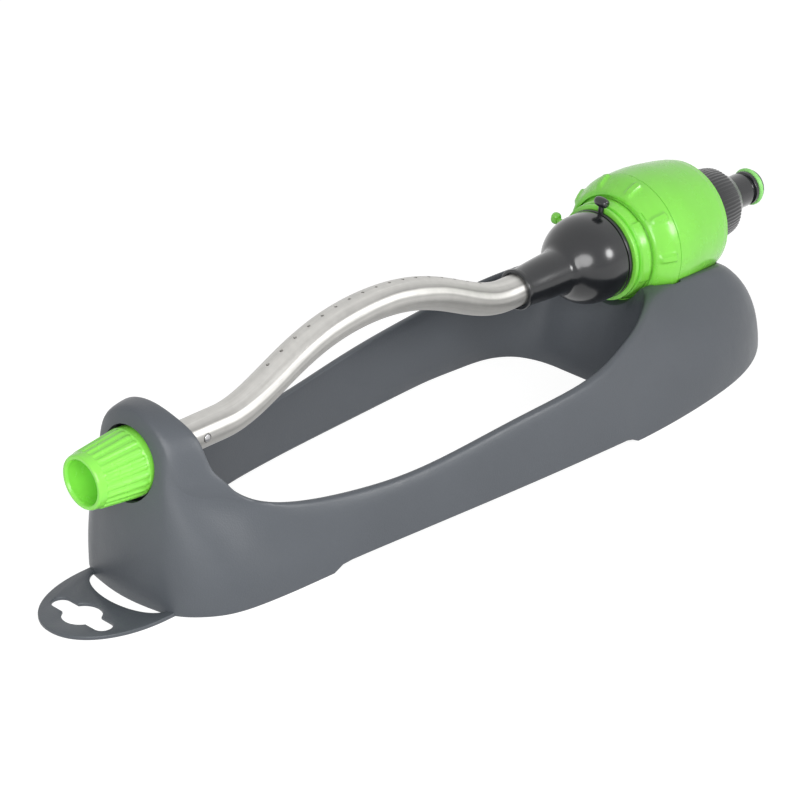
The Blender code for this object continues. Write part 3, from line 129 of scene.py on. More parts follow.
class SprinklerBase(bpy.types.PropertyGroup):
    """Sizes of the ring base, in millimetres, and its colour"""

    wall: FloatProperty(name="Wall", description="Thickness of the moulded wall", default=2.4, min=1.0)
    low_height: FloatProperty(name="Side height", description="Crest height at the low sides", default=29.0)
    rear_height: FloatProperty(
        name="Rear height",
        description="Crest height ahead of the cradle",
        default=38.0,
    )
    crest_width: FloatProperty(
        name="Crest width",
        description="Width of the crest along the sides",
        default=4.6,
    )
    crest_round: FloatProperty(
        name="Crest rounding",
        description="How far the crest's edges fall",
        default=1.5,
    )
    arch_round: FloatProperty(
        name="Arch rounding",
        description="Reach of the rounding round the post's arch",
        default=1.6,
    )
    shoulder: FloatProperty(
        name="Shoulder",
        description="Reach of the crest's soft outer shoulder",
        default=3.4,
    )
    side_raise: FloatProperty(name="Side raise", description="Gap under the long sides", default=3.0)
    colour: FloatVectorProperty(
        name="Slate",
        description="Colour of the base",
        subtype="COLOR",
        default=(0.078, 0.087, 0.100),
    )
    tab_thickness: FloatProperty(
        name="Tab thickness",
        description="Thickness of the hanging tab",
        default=1.8,
    )


class SprinklerTube(bpy.types.PropertyGroup):
    """Sizes of the spray tube, in millimetres, and its colour"""

    arch_start: FloatProperty(name="Arch start", description="Where the tube starts to rise", default=-268.5)
    arch_end: FloatProperty(name="Arch end", description="Where the tube is level again", default=-90.7)
    rise: FloatProperty(name="Rise", description="Height of the arch over the spray axis", default=24.3)
    skew: FloatProperty(name="Skew", description="How far the arch leans towards the post", default=0.275)
    wall: FloatProperty(name="Wall", description="Thickness of the tube's wall", default=1.0)
    nozzles: IntProperty(name="Nozzles", description="Number of spray holes", default=17, min=1)
    pitch: FloatProperty(name="Pitch", description="Distance between spray holes", default=8.2)
    first: FloatProperty(name="First nozzle", description="Place of the foremost spray hole", default=-239.2)
    hole: FloatProperty(name="Hole radius", description="Radius of a spray hole", default=0.6)
    colour: FloatVectorProperty(
        name="Aluminium",
        description="Colour of the tube",
        subtype="COLOR",
        default=(0.60, 0.59, 0.565),
    )


class SprinklerCap(bpy.types.PropertyGroup):
    """Sizes of the end cap, in millimetres"""

    ribs: IntProperty(name="Ribs", description="Grip ribs round the end cap", default=24, min=3)
    rib_height: FloatProperty(name="Rib height", description="Height of a grip rib", default=0.55)
    tip_radius: FloatProperty(name="Tip radius", description="Radius at the cap's open tip", default=12.3)
    base_radius: FloatProperty(name="Base radius", description="Radius at the cap's flange", default=14.8)
    mouth_radius: FloatProperty(
        name="Mouth radius",
        description="Radius of the cap's open mouth",
        default=10.0,
    )
    mouth_depth: FloatProperty(name="Mouth depth", description="Depth of the cap's open mouth", default=16.0)


class SprinklerMotor(bpy.types.PropertyGroup):
    """Sizes of the motor's front pieces, in millimetres, and the plastics' colours"""

    grips: IntProperty(name="Grips", description="Raised grips round the flow collar", default=10, min=2)
    grip_height: FloatProperty(name="Grip height", description="Height of a grip", default=1.4)
    grip_turn: FloatProperty(
        name="Grip turn",
        description="Turn of the first grip from the top, in degrees",
        default=14.3,
    )
    dome_radius: FloatProperty(name="Dome radius", description="Radius of the black dome", default=21.7)
    lime: FloatVectorProperty(
        name="Lime",
        description="Colour of the green parts",
        subtype="COLOR",
        default=(0.245, 0.76, 0.078),
    )
    black: FloatVectorProperty(
        name="Black",
        description="Colour of the black parts",
        subtype="COLOR",
        default=(0.010, 0.011, 0.013),
    )


class SprinklerUnion(bpy.types.PropertyGroup):
    """Sizes of the union nut and the hose nipple, in millimetres"""

    ribs: IntProperty(name="Ribs", description="Grip ribs round the union nut", default=60, min=3)
    rib_height: FloatProperty(name="Rib height", description="Height of a grip rib", default=0.22)
    nipple_radius: FloatProperty(name="Nipple radius", description="Radius of the hose nipple", default=8.5)
    bore_radius: FloatProperty(name="Bore radius", description="Radius of the nipple's bore", default=5.5)


class SprinklerStudio(bpy.types.PropertyGroup):
    """The lights and the floor"""

    key: FloatProperty(name="Key light", description="Power of the key light", default=4.4, unit="POWER")
    front: FloatProperty(
        name="Front light",
        description="Power of the light before the post",
        default=5.0,
        unit="POWER",
    )
    top: FloatProperty(name="Top light", description="Power of the overhead light", default=5.0, unit="POWER")
    back: FloatProperty(name="Back light", description="Power of the light behind", default=1.6, unit="POWER")
    world: FloatProperty(
        name="World light",
        description="Strength of the even light from all round",
        default=0.25,
    )
    floor: FloatVectorProperty(
        name="Floor",
        description="Colour of the floor",
        subtype="COLOR",
        default=(0.8, 0.8, 0.8),
    )


GROUPS = {
    "sprinkler_base": SprinklerBase,
    "sprinkler_tube": SprinklerTube,
    "sprinkler_cap": SprinklerCap,
    "sprinkler_motor": SprinklerMotor,
    "sprinkler_union": SprinklerUnion,
    "sprinkler_studio": SprinklerStudio,
}


# Node trees


def node(tree, kind, inputs=(), **settings):
    """A new node with its settings made and its inputs linked or filled in."""
    made = tree.nodes.new(kind)
    for key, value in settings.items():
        setattr(made, key, value)
    pairs = inputs.items() if isinstance(inputs, dict) else enumerate(inputs)
    for key, value in pairs:
        if isinstance(value, bpy.types.NodeSocket):
            tree.links.new(value, made.inputs[key])
        elif value is not None:
            made.inputs[key].default_value = value
    return made


def maths(tree, operation, *values):
    """One sum of the values, done by a Math node."""
    return node(tree, "ShaderNodeMath", values, operation=operation).outputs[0]


def vector(tree, *parts):
    """A vector from its X, Y and Z."""
    return node(tree, "ShaderNodeCombineXYZ", parts).outputs[0]


def split(tree, value):
    """The X, Y and Z of a vector."""
    return node(tree, "ShaderNodeSeparateXYZ", (value,)).outputs


def position(tree):
    """The place of each point of the geometry."""
    return node(tree, "GeometryNodeInputPosition").outputs[0]


def shifted(tree, geometry, **inputs):
    """Geometry moved, turned or scaled as a whole."""
    return node(tree, "GeometryNodeTransform", {"Geometry": geometry, **inputs}).outputs[0]


def ramp(tree, factor, stops):
    """A colour ramp through (place, grey or colour) stops."""
    made = node(tree, "ShaderNodeValToRGB", {"Fac": factor})
    elements = made.color_ramp.elements
    while len(elements) < len(stops):
        elements.new(0.5)
    for element, (place, colour) in zip(elements, stops):
        element.position = place
        element.color = (colour, colour, colour, 1) if isinstance(colour, float) else (*colour, 1)
    return made.outputs["Color"]


def spread(tree, factor, low, high, to_low, to_high):
    """factor from low to high becomes to_low to to_high."""
    made = node(tree, "ShaderNodeMapRange", (factor, low, high, to_low, to_high), clamp=True)
    return made.outputs[0]


def noise(tree, place, scale, detail, roughness):
    """Smooth noise from 0 to 1."""
    inputs = {"Vector": place, "Scale": scale, "Detail": detail, "Roughness": roughness}
    return node(tree, "ShaderNodeTexNoise", inputs).outputs["Fac"]


def finish_material(name, colour, roughness, metallic=0.0):
    """A new material with its Principled shader, and the object's own coordinates."""
    material = bpy.data.materials.new(name)
    material.use_nodes = True
    tree = material.node_tree
    shader = tree.nodes["Principled BSDF"]
    shader.inputs["Base Color"].default_value = (*colour, 1)
    shader.inputs["Roughness"].default_value = roughness
    shader.inputs["Metallic"].default_value = metallic
    coordinates = node(tree, "ShaderNodeTexCoord").outputs["Object"]
    return material, tree, shader, coordinates


def shaded(tree, colour, low, high, factor):
    """The colour made darker and lighter by a factor from 0 to 1."""
    dark = tuple(min(c * low, 1.0) for c in colour)
    light = tuple(min(c * high, 1.0) for c in colour)
    return ramp(tree, factor, ((0.25, dark), (0.75, light)))


def tinted(tree, shader, colour, low, high, factor):
    """Colours the shader, made darker and lighter by a factor."""
    tree.links.new(shaded(tree, colour, low, high, factor), shader.inputs["Base Color"])


def roughened(tree, shader, factor, low, high, smooth, rough):
    """The shader's roughness goes from smooth to rough as a factor goes from low to high."""
    tree.links.new(spread(tree, factor, low, high, smooth, rough), shader.inputs["Roughness"])


def bumped(tree, shader, height, distance, strength, normal=None):
    """A bump on the shader, over an earlier one where its normal is given."""
    inputs = {"Strength": strength, "Distance": distance, "Height": height}
    if normal is not None:
        inputs["Normal"] = normal
    made = node(tree, "ShaderNodeBump", inputs).outputs["Normal"]
    tree.links.new(made, shader.inputs["Normal"])
    return made


def grained_slate(colour):
    """Spark-eroded matt plastic: a fine pebble grain, a slow cloudiness and pale rubbed patches."""
    material, tree, shader, place = finish_material("grained_slate", colour, 0.5)
    cloud = noise(tree, place, 18, 4, 0.55)
    grain = noise(tree, place, 1500, 2, 0.6)
    cells = {"Vector": place, "Scale": 1300, "Randomness": 1}
    pebble = node(tree, "ShaderNodeTexVoronoi", cells).outputs["Distance"]
    mottle = maths(tree, "MULTIPLY_ADD", grain, 0.35, maths(tree, "MULTIPLY", cloud, 0.65))
    tinted(tree, shader, colour, 0.9, 1.1, mottle)
    rubbed = noise(tree, place, 70, 5, 0.6)
    roughened(tree, shader, rubbed, 0.35, 0.7, 0.38, 0.48)
    shader.inputs["Specular IOR Level"].default_value = 0.5
    fine = bumped(tree, shader, pebble, 0.00005, 0.7)
    bumped(tree, shader, cloud, 0.0006, 0.25, fine)
    return material


def lime_gloss(colour):
    """Glossy tinted plastic with a slight orange peel and faint flow marks."""
    material, tree, shader, place = finish_material("lime_gloss", colour, 0.25)
    flow = node(tree, "ShaderNodeMapping", {"Vector": place, "Scale": (1.0, 0.35, 0.35)}).outputs["Vector"]
    marks = noise(tree, flow, 60, 5, 0.6)
    tinted(tree, shader, colour, 0.93, 1.05, marks)
    smear = noise(tree, place, 130, 4, 0.6)
    roughened(tree, shader, smear, 0.3, 0.75, 0.2, 0.32)
    shader.inputs["Subsurface Weight"].default_value = 0.12
    shader.inputs["Subsurface Radius"].default_value = (0.6, 1.0, 0.25)
    shader.inputs["Subsurface Scale"].default_value = 0.003
    shader.inputs["Coat Weight"].default_value = 0.15
    shader.inputs["Coat Roughness"].default_value = 0.12
    peel = noise(tree, place, 420, 2, 0.5)
    bumped(tree, shader, peel, 0.00004, 0.5)
    return material


def black_gloss(colour):
    """Semi-gloss black plastic with light haze and faint wipe marks."""
    material, tree, shader, place = finish_material("black_gloss", colour, 0.22)
    haze = noise(tree, place, 90, 5, 0.6)
    tinted(tree, shader, colour, 0.85, 1.2, haze)
    slanted = {"Vector": place, "Rotation": (0.4, 0.3, 0.9), "Scale": (1, 3, 1)}
    wipes = node(tree, "ShaderNodeMapping", slanted)
    lines = noise(tree, wipes.outputs["Vector"], 70, 4, 0.6)
    roughened(tree, shader, lines, 0.3, 0.75, 0.2, 0.27)
    shader.inputs["Coat Weight"].default_value = 0.4
    shader.inputs["Coat Roughness"].default_value = 0.12
    peel = noise(tree, place, 500, 2, 0.5)
    bumped(tree, shader, peel, 0.00002, 0.35)
    return material


def satin_aluminium(colour):
    """Satin tube finish: painted reflection stripes and painted shade round the tube, brush lines along the
    bend, and a soft mottle from handling.
    """
    material, tree, shader, place = finish_material("satin_aluminium", colour, 0.4, 0.75)
    along = node(tree, "ShaderNodeAttribute", attribute_name="straight").outputs["Vector"]
    parts = split(tree, along)
    angle = maths(tree, "ARCTAN2", maths(tree, "ABSOLUTE", parts["Y"]), parts["Z"])
    wander = node(tree, "ShaderNodeMapping", {"Vector": along, "Scale": (14, 60, 60)}).outputs["Vector"]
    drift = maths(tree, "SUBTRACT", noise(tree, wander, 1.0, 3, 0.5), 0.5)
    place_round = maths(tree, "DIVIDE", maths(tree, "MULTIPLY_ADD", drift, 0.5, angle), math.pi)
    # Painted reflection: light and dark stripes set by the angle from the crest, where reflections and
    # highlights fall, with painted shade darkening towards the underside.
    grey = ((0.0, 0.92), (0.12, 1.0), (0.21, 0.8), (0.28, 0.5), (0.32, 0.95), (0.4, 1.15), (0.44, 0.68))
    grey += ((0.5, 0.84), (0.6, 0.74), (0.7, 0.58), (0.82, 0.6), (1.0, 0.7))
    painted_reflection = ramp(tree, place_round, grey)
    lines = node(tree, "ShaderNodeMapping", {"Vector": along, "Scale": (18, 900, 900)}).outputs["Vector"]
    streaks = noise(tree, lines, 1.0, 4, 0.65)
    mottle = noise(tree, place, 230, 4, 0.6)
    mixed = maths(tree, "MULTIPLY_ADD", streaks, 0.6, maths(tree, "MULTIPLY", mottle, 0.4))
    brushed = shaded(tree, colour, 0.84, 1.16, mixed)
    inputs = {"Factor": 1.0, 6: brushed, 7: painted_reflection}
    toned = node(tree, "ShaderNodeMix", inputs, data_type="RGBA", blend_type="MULTIPLY").outputs[2]
    tree.links.new(toned, shader.inputs["Base Color"])
    rough = maths(tree, "MULTIPLY_ADD", mottle, 0.3, maths(tree, "MULTIPLY", streaks, 0.7))
    roughened(tree, shader, rough, 0.3, 0.7, 0.36, 0.52)
    shader.inputs["Anisotropic"].default_value = 0.4
    bumped(tree, shader, streaks, 0.00006, 0.35)
    return material


def bright_steel(colour):
    """Zinc-bright steel with a fine cross grain."""
    material, tree, shader, place = finish_material("bright_steel", colour, 0.3, 1.0)
    grain = noise(tree, place, 900, 3, 0.6)
    tinted(tree, shader, colour, 0.88, 1.06, grain)
    roughened(tree, shader, grain, 0.3, 0.7, 0.22, 0.38)
    bumped(tree, shader, grain, 0.00002, 0.4)
    return material


def natural_nylon(colour):
    """Uncoloured moulding with a waxy, slightly cloudy surface."""
    material, tree, shader, place = finish_material("natural_nylon", colour, 0.42)
    cloud = noise(tree, place, 120, 4, 0.55)
    tinted(tree, shader, colour, 0.94, 1.03, cloud)
    roughened(tree, shader, cloud, 0.3, 0.7, 0.36, 0.5)
    shader.inputs["Subsurface Weight"].default_value = 0.15
    shader.inputs["Subsurface Scale"].default_value = 0.002
    bumped(tree, shader, noise(tree, place, 700, 2, 0.5), 0.00003, 0.4)
    return material


def soft_rubber(name, colour, roughness):
    """Rubber with a powdery speckle."""
    material, tree, shader, place = finish_material(name, colour, roughness)
    speckle = noise(tree, place, 1100, 3, 0.65)
    tinted(tree, shader, colour, 0.85, 1.2, speckle)
    roughened(tree, shader, speckle, 0.3, 0.7, roughness - 0.08, roughness + 0.08)
    bumped(tree, shader, speckle, 0.00004, 0.5)
    return material


def material_for(slot):
    """The finish that belongs to a slot of the record, made once."""
    scene = bpy.context.scene
    motor = scene.sprinkler_motor
    makers = {
        "slate_plastic": ("grained_slate", lambda: grained_slate(tuple(scene.sprinkler_base.colour))),
        "lime_plastic": ("lime_gloss", lambda: lime_gloss(tuple(motor.lime))),
        "black_plastic": ("black_gloss", lambda: black_gloss(tuple(motor.black))),
        "brushed_aluminium": ("satin_aluminium", lambda: satin_aluminium(tuple(scene.sprinkler_tube.colour))),
        "steel": ("bright_steel", lambda: bright_steel((0.62, 0.62, 0.63))),
        "natural_plastic": ("natural_nylon", lambda: natural_nylon((0.72, 0.70, 0.65))),
        "rubber": ("black_rubber", lambda: soft_rubber("black_rubber", (0.02, 0.02, 0.02), 0.75)),
        "green_rubber": ("lime_rubber", lambda: soft_rubber("lime_rubber", (0.32, 0.80, 0.22), 0.4)),
    }
    name, make = makers[slot]
    return bpy.data.materials.get(name) or make()


# Meshes


def linked(name, data):
    """A new object in the scene."""
    obj = bpy.data.objects.new(name, data)
    bpy.context.scene.collection.objects.link(obj)
    return obj


def solid(name, bm, lift=None, sharp=35):
    """An object from a closed bmesh in millimetres, lifted to the spray axis unless told otherwise."""
    bmesh.ops.remove_doubles(bm, verts=bm.verts, dist=1e-5)
    bmesh.ops.recalc_face_normals(bm, faces=bm.faces)
    mesh = bpy.data.meshes.new(name)
    bm.to_mesh(mesh)
    bm.free()
    height = AXIS_Z if lift is None else lift
    mesh.transform(Matrix.Diagonal((MM, MM, MM, 1)) @ Matrix.Translation((DATUM_X, 0, height)))
    mesh.shade_smooth()
    mesh.set_sharp_from_angle(angle=math.radians(sharp))
    return linked(name, mesh)


def rounded(corners, steps=4):
    """The closed outline of (x, radius, fillet) corners, with each filleted corner turned into an arc."""
    points = []
    for i, (x, radius, fillet) in enumerate(corners):
        here = Vector((x, radius))
        if not fillet:
            points.append((x, radius))
            continue
        before = Vector(corners[i - 1][:2]) - here
        after = Vector(corners[(i + 1) % len(corners)][:2]) - here
        half = before.angle(after) / 2
        reach = min(fillet / max(math.tan(half), 0.05), 0.45 * before.length, 0.45 * after.length)
        first = here + before.normalized() * reach
        last = here + after.normalized() * reach
        for step in range(steps + 1):
            t = step / steps
            point = first * (1 - t) ** 2 + here * 2 * t * (1 - t) + last * t**2
            points.append((point.x, point.y))
    return points


def eased(outline, rounds, steps=6):
    """(x, radius) points set close together along an outline, its corners eased and its ends kept."""
    fine = []
    for (x, radius), (x_next, next_radius) in zip(outline, outline[1:]):
        for step in range(steps):
            share = step / steps
            fine.append((x + (x_next - x) * share, radius + (next_radius - radius) * share))
    for _ in range(rounds):
        around = zip(fine, fine[1:], fine[2:])
        inner = [(b[0], (a[1] + 2 * b[1] + c[1]) / 4) for a, b, c in around]
        fine = [fine[0], *inner, fine[-1]]
    return fine


def turned(name, profile, steps=96, swell=None, closed=True, lift=None, sharp=35):
    """(x, radius) points turned about X. swell(x, radius, angle) may raise the surface round the turn."""
    bm = bmesh.new()
    rows = []
    for step in range(steps):
        angle = 2 * math.pi * step / steps
        row = []
        for index, (x, radius) in enumerate(profile):
            if radius < 1e-6:
                row.append(rows[0][index] if rows else bm.verts.new((x, 0, 0)))
                continue
            grown = radius + (swell(x, radius, angle) if swell else 0)
            row.append(bm.verts.new((x, -grown * math.sin(angle), grown * math.cos(angle))))
        rows.append(row)
    pairs = [(i, i + 1) for i in range(len(profile) - 1)]
    if closed:
        pairs.append((len(profile) - 1, 0))
    for row, following in zip(rows, rows[1:] + rows[:1]):
        for first, second in pairs:
            corners = dict.fromkeys([row[first], row[second], following[second], following[first]])
            if len(corners) > 2:
                bm.faces.new(list(corners))
    return solid(name, bm, lift, sharp)


def bar(name, radius, start, end, matrix=Matrix.Identity(4), steps=32, lift=None):
    """A round bar along X, moved by a matrix in millimetres."""
    bm = bmesh.new()
    ends = []
    for x in (start, end):
        ring = []
        for step in range(steps):
            angle = 2 * math.pi * step / steps
            point = Vector((x, -radius * math.sin(angle), radius * math.cos(angle)))
            ring.append(bm.verts.new(matrix @ point))
        ends.append(ring)
        bm.faces.new(ring)
    for i in range(steps):
        j = (i + 1) % steps
        bm.faces.new((ends[0][i], ends[0][j], ends[1][j], ends[1][i]))
    return solid(name, bm, lift)


def upright(x):
    """Stands a bar along X up at a place along X."""
    return Matrix.Translation((x, 0, 0)) @ Matrix.Rotation(-math.pi / 2, 4, "Y")


def settled(obj):
    """The object with its modifiers made part of its mesh."""
    bpy.context.view_layer.update()
    graph = bpy.context.evaluated_depsgraph_get()
    made = obj.evaluated_get(graph)
    mesh = bpy.data.meshes.new_from_object(made, preserve_all_data_layers=True, depsgraph=graph)
    obj.modifiers.clear()
    old = obj.data
    obj.data = mesh
    mesh.name = obj.name
    bpy.data.meshes.remove(old)
    return obj


def combined(obj, operation, *others):
    """Cuts other closed meshes from an object, or joins them to it."""
    for other in others:
        modifier = obj.modifiers.new("shape", "BOOLEAN")
        modifier.operation = operation
        modifier.object = other
        settled(obj)
        bpy.data.objects.remove(other)
    return obj


def softened(obj, width, angle=40, segments=2):
    """The object's sharp edges rounded by a small bevel."""
    modifier = obj.modifiers.new("soft edges", "BEVEL")
    modifier.width = width * MM
    modifier.segments = segments
    modifier.limit_method = "ANGLE"
    modifier.angle_limit = math.radians(angle)
    modifier.use_clamp_overlap = True
    modifier.miter_outer = "MITER_ARC"
    return settled(obj)


def smoothed(obj, sharp=35):
    """The object shaded smooth, with edges over an angle kept sharp."""
    obj.data.shade_smooth()
    obj.data.set_sharp_from_angle(angle=math.radians(sharp))
    return obj


def dress(obj, body, slot, *nodes):
    """Gives a piece its finish, its body and the nodes it stands for."""
    obj.data.materials.clear()
    obj.data.materials.append(material_for(slot))
    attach(obj, body)
    if nodes:
        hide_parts(*nodes)
    return obj


def smoothstep(value, low, high):
    """0 below low, 1 above high, and an S curve between."""
    t = min(max((value - low) / (high - low), 0.0), 1.0)
    return t * t * (3 - 2 * t)


# Geometry node trees


def new_geometry_tree(name, inputs):
    """A geometry tree with named inputs, and its input and output nodes."""
    tree = bpy.data.node_groups.new(name, "GeometryNodeTree")
    tree.interface.new_socket("Geometry", in_out="INPUT", socket_type="NodeSocketGeometry")
    for label, kind, value in inputs:
        socket = tree.interface.new_socket(label, in_out="INPUT", socket_type=f"NodeSocket{kind}")
        if value is not None:
            socket.default_value = value
    tree.interface.new_socket("Geometry", in_out="OUTPUT", socket_type="NodeSocketGeometry")
    return tree, tree.nodes.new("NodeGroupInput").outputs, tree.nodes.new("NodeGroupOutput").inputs


def close_tree(tree, geometry, given, result):
    """Ends a tree in real geometry with its material."""
    real = node(tree, "GeometryNodeRealizeInstances", {"Geometry": geometry}).outputs["Geometry"]
    painted = node(tree, "GeometryNodeSetMaterial", {"Geometry": real, "Material": given["Material"]})
    tree.links.new(painted.outputs["Geometry"], result["Geometry"])
    return tree


def grown(obj, tree, slot, **values):
    """Runs a geometry tree on an object and keeps the result as its mesh."""
    modifier = obj.modifiers.new(tree.name, "NODES")
    modifier.node_group = tree
    values["Material"] = material_for(slot)
    for item in tree.interface.items_tree:
        key = item.name.replace(" ", "_")
        if item.in_out == "INPUT" and key in values:
            modifier[item.identifier] = values[key]
    return settled(obj)


def rib_tree():
    """Ribs or pads on a turned piece: a wave round the spray axis, kept between two places along it."""
    name = "Ribs round the axis"
    if name in bpy.data.node_groups:
        return bpy.data.node_groups[name]
    tree, given, result = new_geometry_tree(
        name,
        (
            ("Count", "Float", 20.0),
            ("Height", "Float", 0.0005),
            ("Turn", "Float", 0.0),
            ("From", "Float", 0.0),
            ("To", "Float", 0.1),
            ("Fade", "Float", 0.001),
            ("Inner", "Float", 0.01),
            ("Wave low", "Float", -0.2),
            ("Wave high", "Float", 0.8),
            ("Axis", "Float", 0.06),
            ("Material", "Material", None),
        ),
    )
    parts = split(tree, position(tree))
    rise = maths(tree, "SUBTRACT", parts["Z"], given["Axis"])
    flat = vector(tree, 0.0, parts["Y"], rise)
    radius = node(tree, "ShaderNodeVectorMath", (flat,), operation="LENGTH").outputs["Value"]
    outward = node(tree, "ShaderNodeVectorMath", (flat,), operation="NORMALIZE").outputs[0]
    angle = maths(tree, "ARCTAN2", maths(tree, "MULTIPLY", parts["Y"], -1.0), rise)
    turned_by = maths(tree, "MULTIPLY", maths(tree, "SUBTRACT", angle, given["Turn"]), given["Count"])
    wave = maths(tree, "COSINE", turned_by)
    smooth = {"interpolation_type": "SMOOTHSTEP"}
    lift = node(tree, "ShaderNodeMapRange", (wave, given["Wave low"], given["Wave high"], 0.0, 1.0), **smooth)
    start = maths(tree, "ADD", given["From"], given["Fade"])
    end = maths(tree, "SUBTRACT", given["To"], given["Fade"])
    rising = node(tree, "ShaderNodeMapRange", (parts["X"], given["From"], start, 0.0, 1.0), **smooth)
    falling = node(tree, "ShaderNodeMapRange", (parts["X"], end, given["To"], 1.0, 0.0), **smooth)
    outside = maths(tree, "GREATER_THAN", radius, given["Inner"])
    along = maths(tree, "MULTIPLY", rising.outputs[0], falling.outputs[0])
    share = maths(tree, "MULTIPLY", lift.outputs[0], along)
    amount = maths(tree, "MULTIPLY", maths(tree, "MULTIPLY", share, outside), given["Height"])
    offset = node(tree, "ShaderNodeVectorMath", {0: outward, "Scale": amount}, operation="SCALE").outputs[0]
    moved = node(tree, "GeometryNodeSetPosition", {"Geometry": given["Geometry"], "Offset": offset})
    return close_tree(tree, moved.outputs["Geometry"], given, result)


def ribbed(obj, slot, count, height, start, end, inner, turn=0.0, fade=1.0, low=-0.2, high=0.8):
    """Ribs on a turned piece. Lengths are in millimetres from the parting line, and the turn in degrees."""
    values = {
        "Count": float(count),
        "Height": height * MM,
        "Turn": math.radians(turn),
        "From": (start + DATUM_X) * MM,
        "To": (end + DATUM_X) * MM,
        "Fade": fade * MM,
        "Inner": inner * MM,
        "Wave_low": low,
        "Wave_high": high,
        "Axis": AXIS_Z * MM,
    }
    return grown(obj, rib_tree(), slot, **values)


def bent_tube_tree():
    """The spray tube: a level line lifted into an arch, swept into a tube and drilled along its crest."""
    tree, given, result = new_geometry_tree(
        "Bent spray tube",
        (
            ("Front", "Float", 0.0),
            ("Rear", "Float", 0.0),
            ("Arch start", "Float", 0.0),
            ("Arch end", "Float", 0.0),
            ("Rise", "Float", 0.0),
            ("Skew", "Float", 0.0),
            ("Radius", "Float", 0.0),
            ("Bore", "Float", 0.0),
            ("Axis", "Float", 0.0),
            ("Nozzles", "Int", 17),
            ("First nozzle", "Float", 0.0),
            ("Pitch", "Float", 0.0),
            ("Hole", "Float", 0.0),
            ("Pin", "Float", 0.0),
            ("Pin hole", "Float", 0.0),
            ("Rings", "Int", 180),
            ("Sides", "Int", 64),
            ("Material", "Material", None),
        ),
    )

    def arch(x):
        """The tube's height over the spray axis at a place along it."""
        span = maths(tree, "SUBTRACT", given["Arch end"], given["Arch start"])
        share = maths(tree, "DIVIDE", maths(tree, "SUBTRACT", x, given["Arch start"]), span)
        kept = node(tree, "ShaderNodeClamp", (share, 0.0, 1.0)).outputs[0]
        turn = maths(tree, "MULTIPLY", kept, 2 * math.pi)
        leant = maths(tree, "MULTIPLY_ADD", maths(tree, "SINE", turn), given["Skew"], turn)
        wave = maths(tree, "COSINE", leant)
        half = maths(tree, "MULTIPLY", given["Rise"], 0.5)
        return maths(tree, "MULTIPLY", maths(tree, "SUBTRACT", 1.0, wave), half)

    def sweep(radius, past):
        """A round bar along the bent line, run past both of its ends."""
        front = maths(tree, "SUBTRACT", given["Front"], past)
        rear = maths(tree, "ADD", given["Rear"], past)
        start = vector(tree, front, 0.0, given["Axis"])
        end = vector(tree, rear, 0.0, given["Axis"])
        line = node(tree, "GeometryNodeCurvePrimitiveLine", {"Start": start, "End": end}).outputs[0]
        fine = node(tree, "GeometryNodeResampleCurve", {"Curve": line, "Count": given["Rings"]}).outputs[0]
        up = vector(tree, 0.0, 0.0, arch(split(tree, position(tree))["X"]))
        bent = node(tree, "GeometryNodeSetPosition", {"Geometry": fine, "Offset": up}).outputs[0]
        inputs = {"Resolution": given["Sides"], "Radius": radius}
        ring = node(tree, "GeometryNodeCurvePrimitiveCircle", inputs)
        inputs = {"Curve": bent, "Profile Curve": ring.outputs["Curve"], "Fill Caps": True}
        return node(tree, "GeometryNodeCurveToMesh", inputs).outputs[0]

    outer = sweep(given["Radius"], 0.0)
    inner = sweep(given["Bore"], 0.001)
    start = vector(tree, given["First nozzle"], 0.0, given["Axis"])
    step = vector(tree, given["Pitch"], 0.0, 0.0)
    inputs = {"Count": given["Nozzles"], "Start Location": start, "Offset": step}
    row = node(tree, "GeometryNodeMeshLine", inputs, mode="OFFSET", count_mode="TOTAL").outputs[0]
    crest = maths(tree, "ADD", arch(split(tree, position(tree))["X"]), given["Radius"])
    top = vector(tree, 0.0, 0.0, crest)
    row = node(tree, "GeometryNodeSetPosition", {"Geometry": row, "Offset": top}).outputs[0]
    depth = maths(tree, "MULTIPLY", maths(tree, "SUBTRACT", given["Radius"], given["Bore"]), 4.0)
    flare = maths(tree, "MULTIPLY", given["Hole"], 1.5)
    inputs = {"Vertices": 16, "Radius Top": flare, "Radius Bottom": given["Hole"], "Depth": depth}
    drill = node(tree, "GeometryNodeMeshCone", inputs).outputs["Mesh"]
    sunk = vector(tree, 0.0, 0.0, maths(tree, "MULTIPLY", depth, -0.5))
    drill = shifted(tree, drill, Translation=sunk)
    drills = node(tree, "GeometryNodeInstanceOnPoints", {"Points": row, "Instance": drill}).outputs[0]
    drills = node(tree, "GeometryNodeRealizeInstances", {"Geometry": drills}).outputs[0]
    wide = maths(tree, "MULTIPLY", given["Radius"], 3.0)
    pin = node(tree, "GeometryNodeMeshCylinder", {"Vertices": 32, "Radius": given["Pin hole"], "Depth": wide})
    spot = vector(tree, given["Pin"], 0.0, given["Axis"])
    cross = shifted(tree, pin.outputs["Mesh"], Translation=spot, Rotation=(math.pi / 2, 0.0, 0.0))
    drilled = node(tree, "GeometryNodeMeshBoolean", {0: outer}, operation="DIFFERENCE", solver="EXACT")
    for cutter in (inner, drills, cross):
        tree.links.new(cutter, drilled.inputs[1])
    parts = split(tree, position(tree))
    level = maths(tree, "SUBTRACT", maths(tree, "SUBTRACT", parts["Z"], given["Axis"]), arch(parts["X"]))
    unbent = vector(tree, parts["X"], parts["Y"], level)
    inputs = {"Geometry": drilled.outputs["Mesh"], "Name": "straight", "Value": unbent}
    kept = node(tree, "GeometryNodeStoreNamedAttribute", inputs, data_type="FLOAT_VECTOR", domain="POINT")
    return close_tree(tree, kept.outputs["Geometry"], given, result)


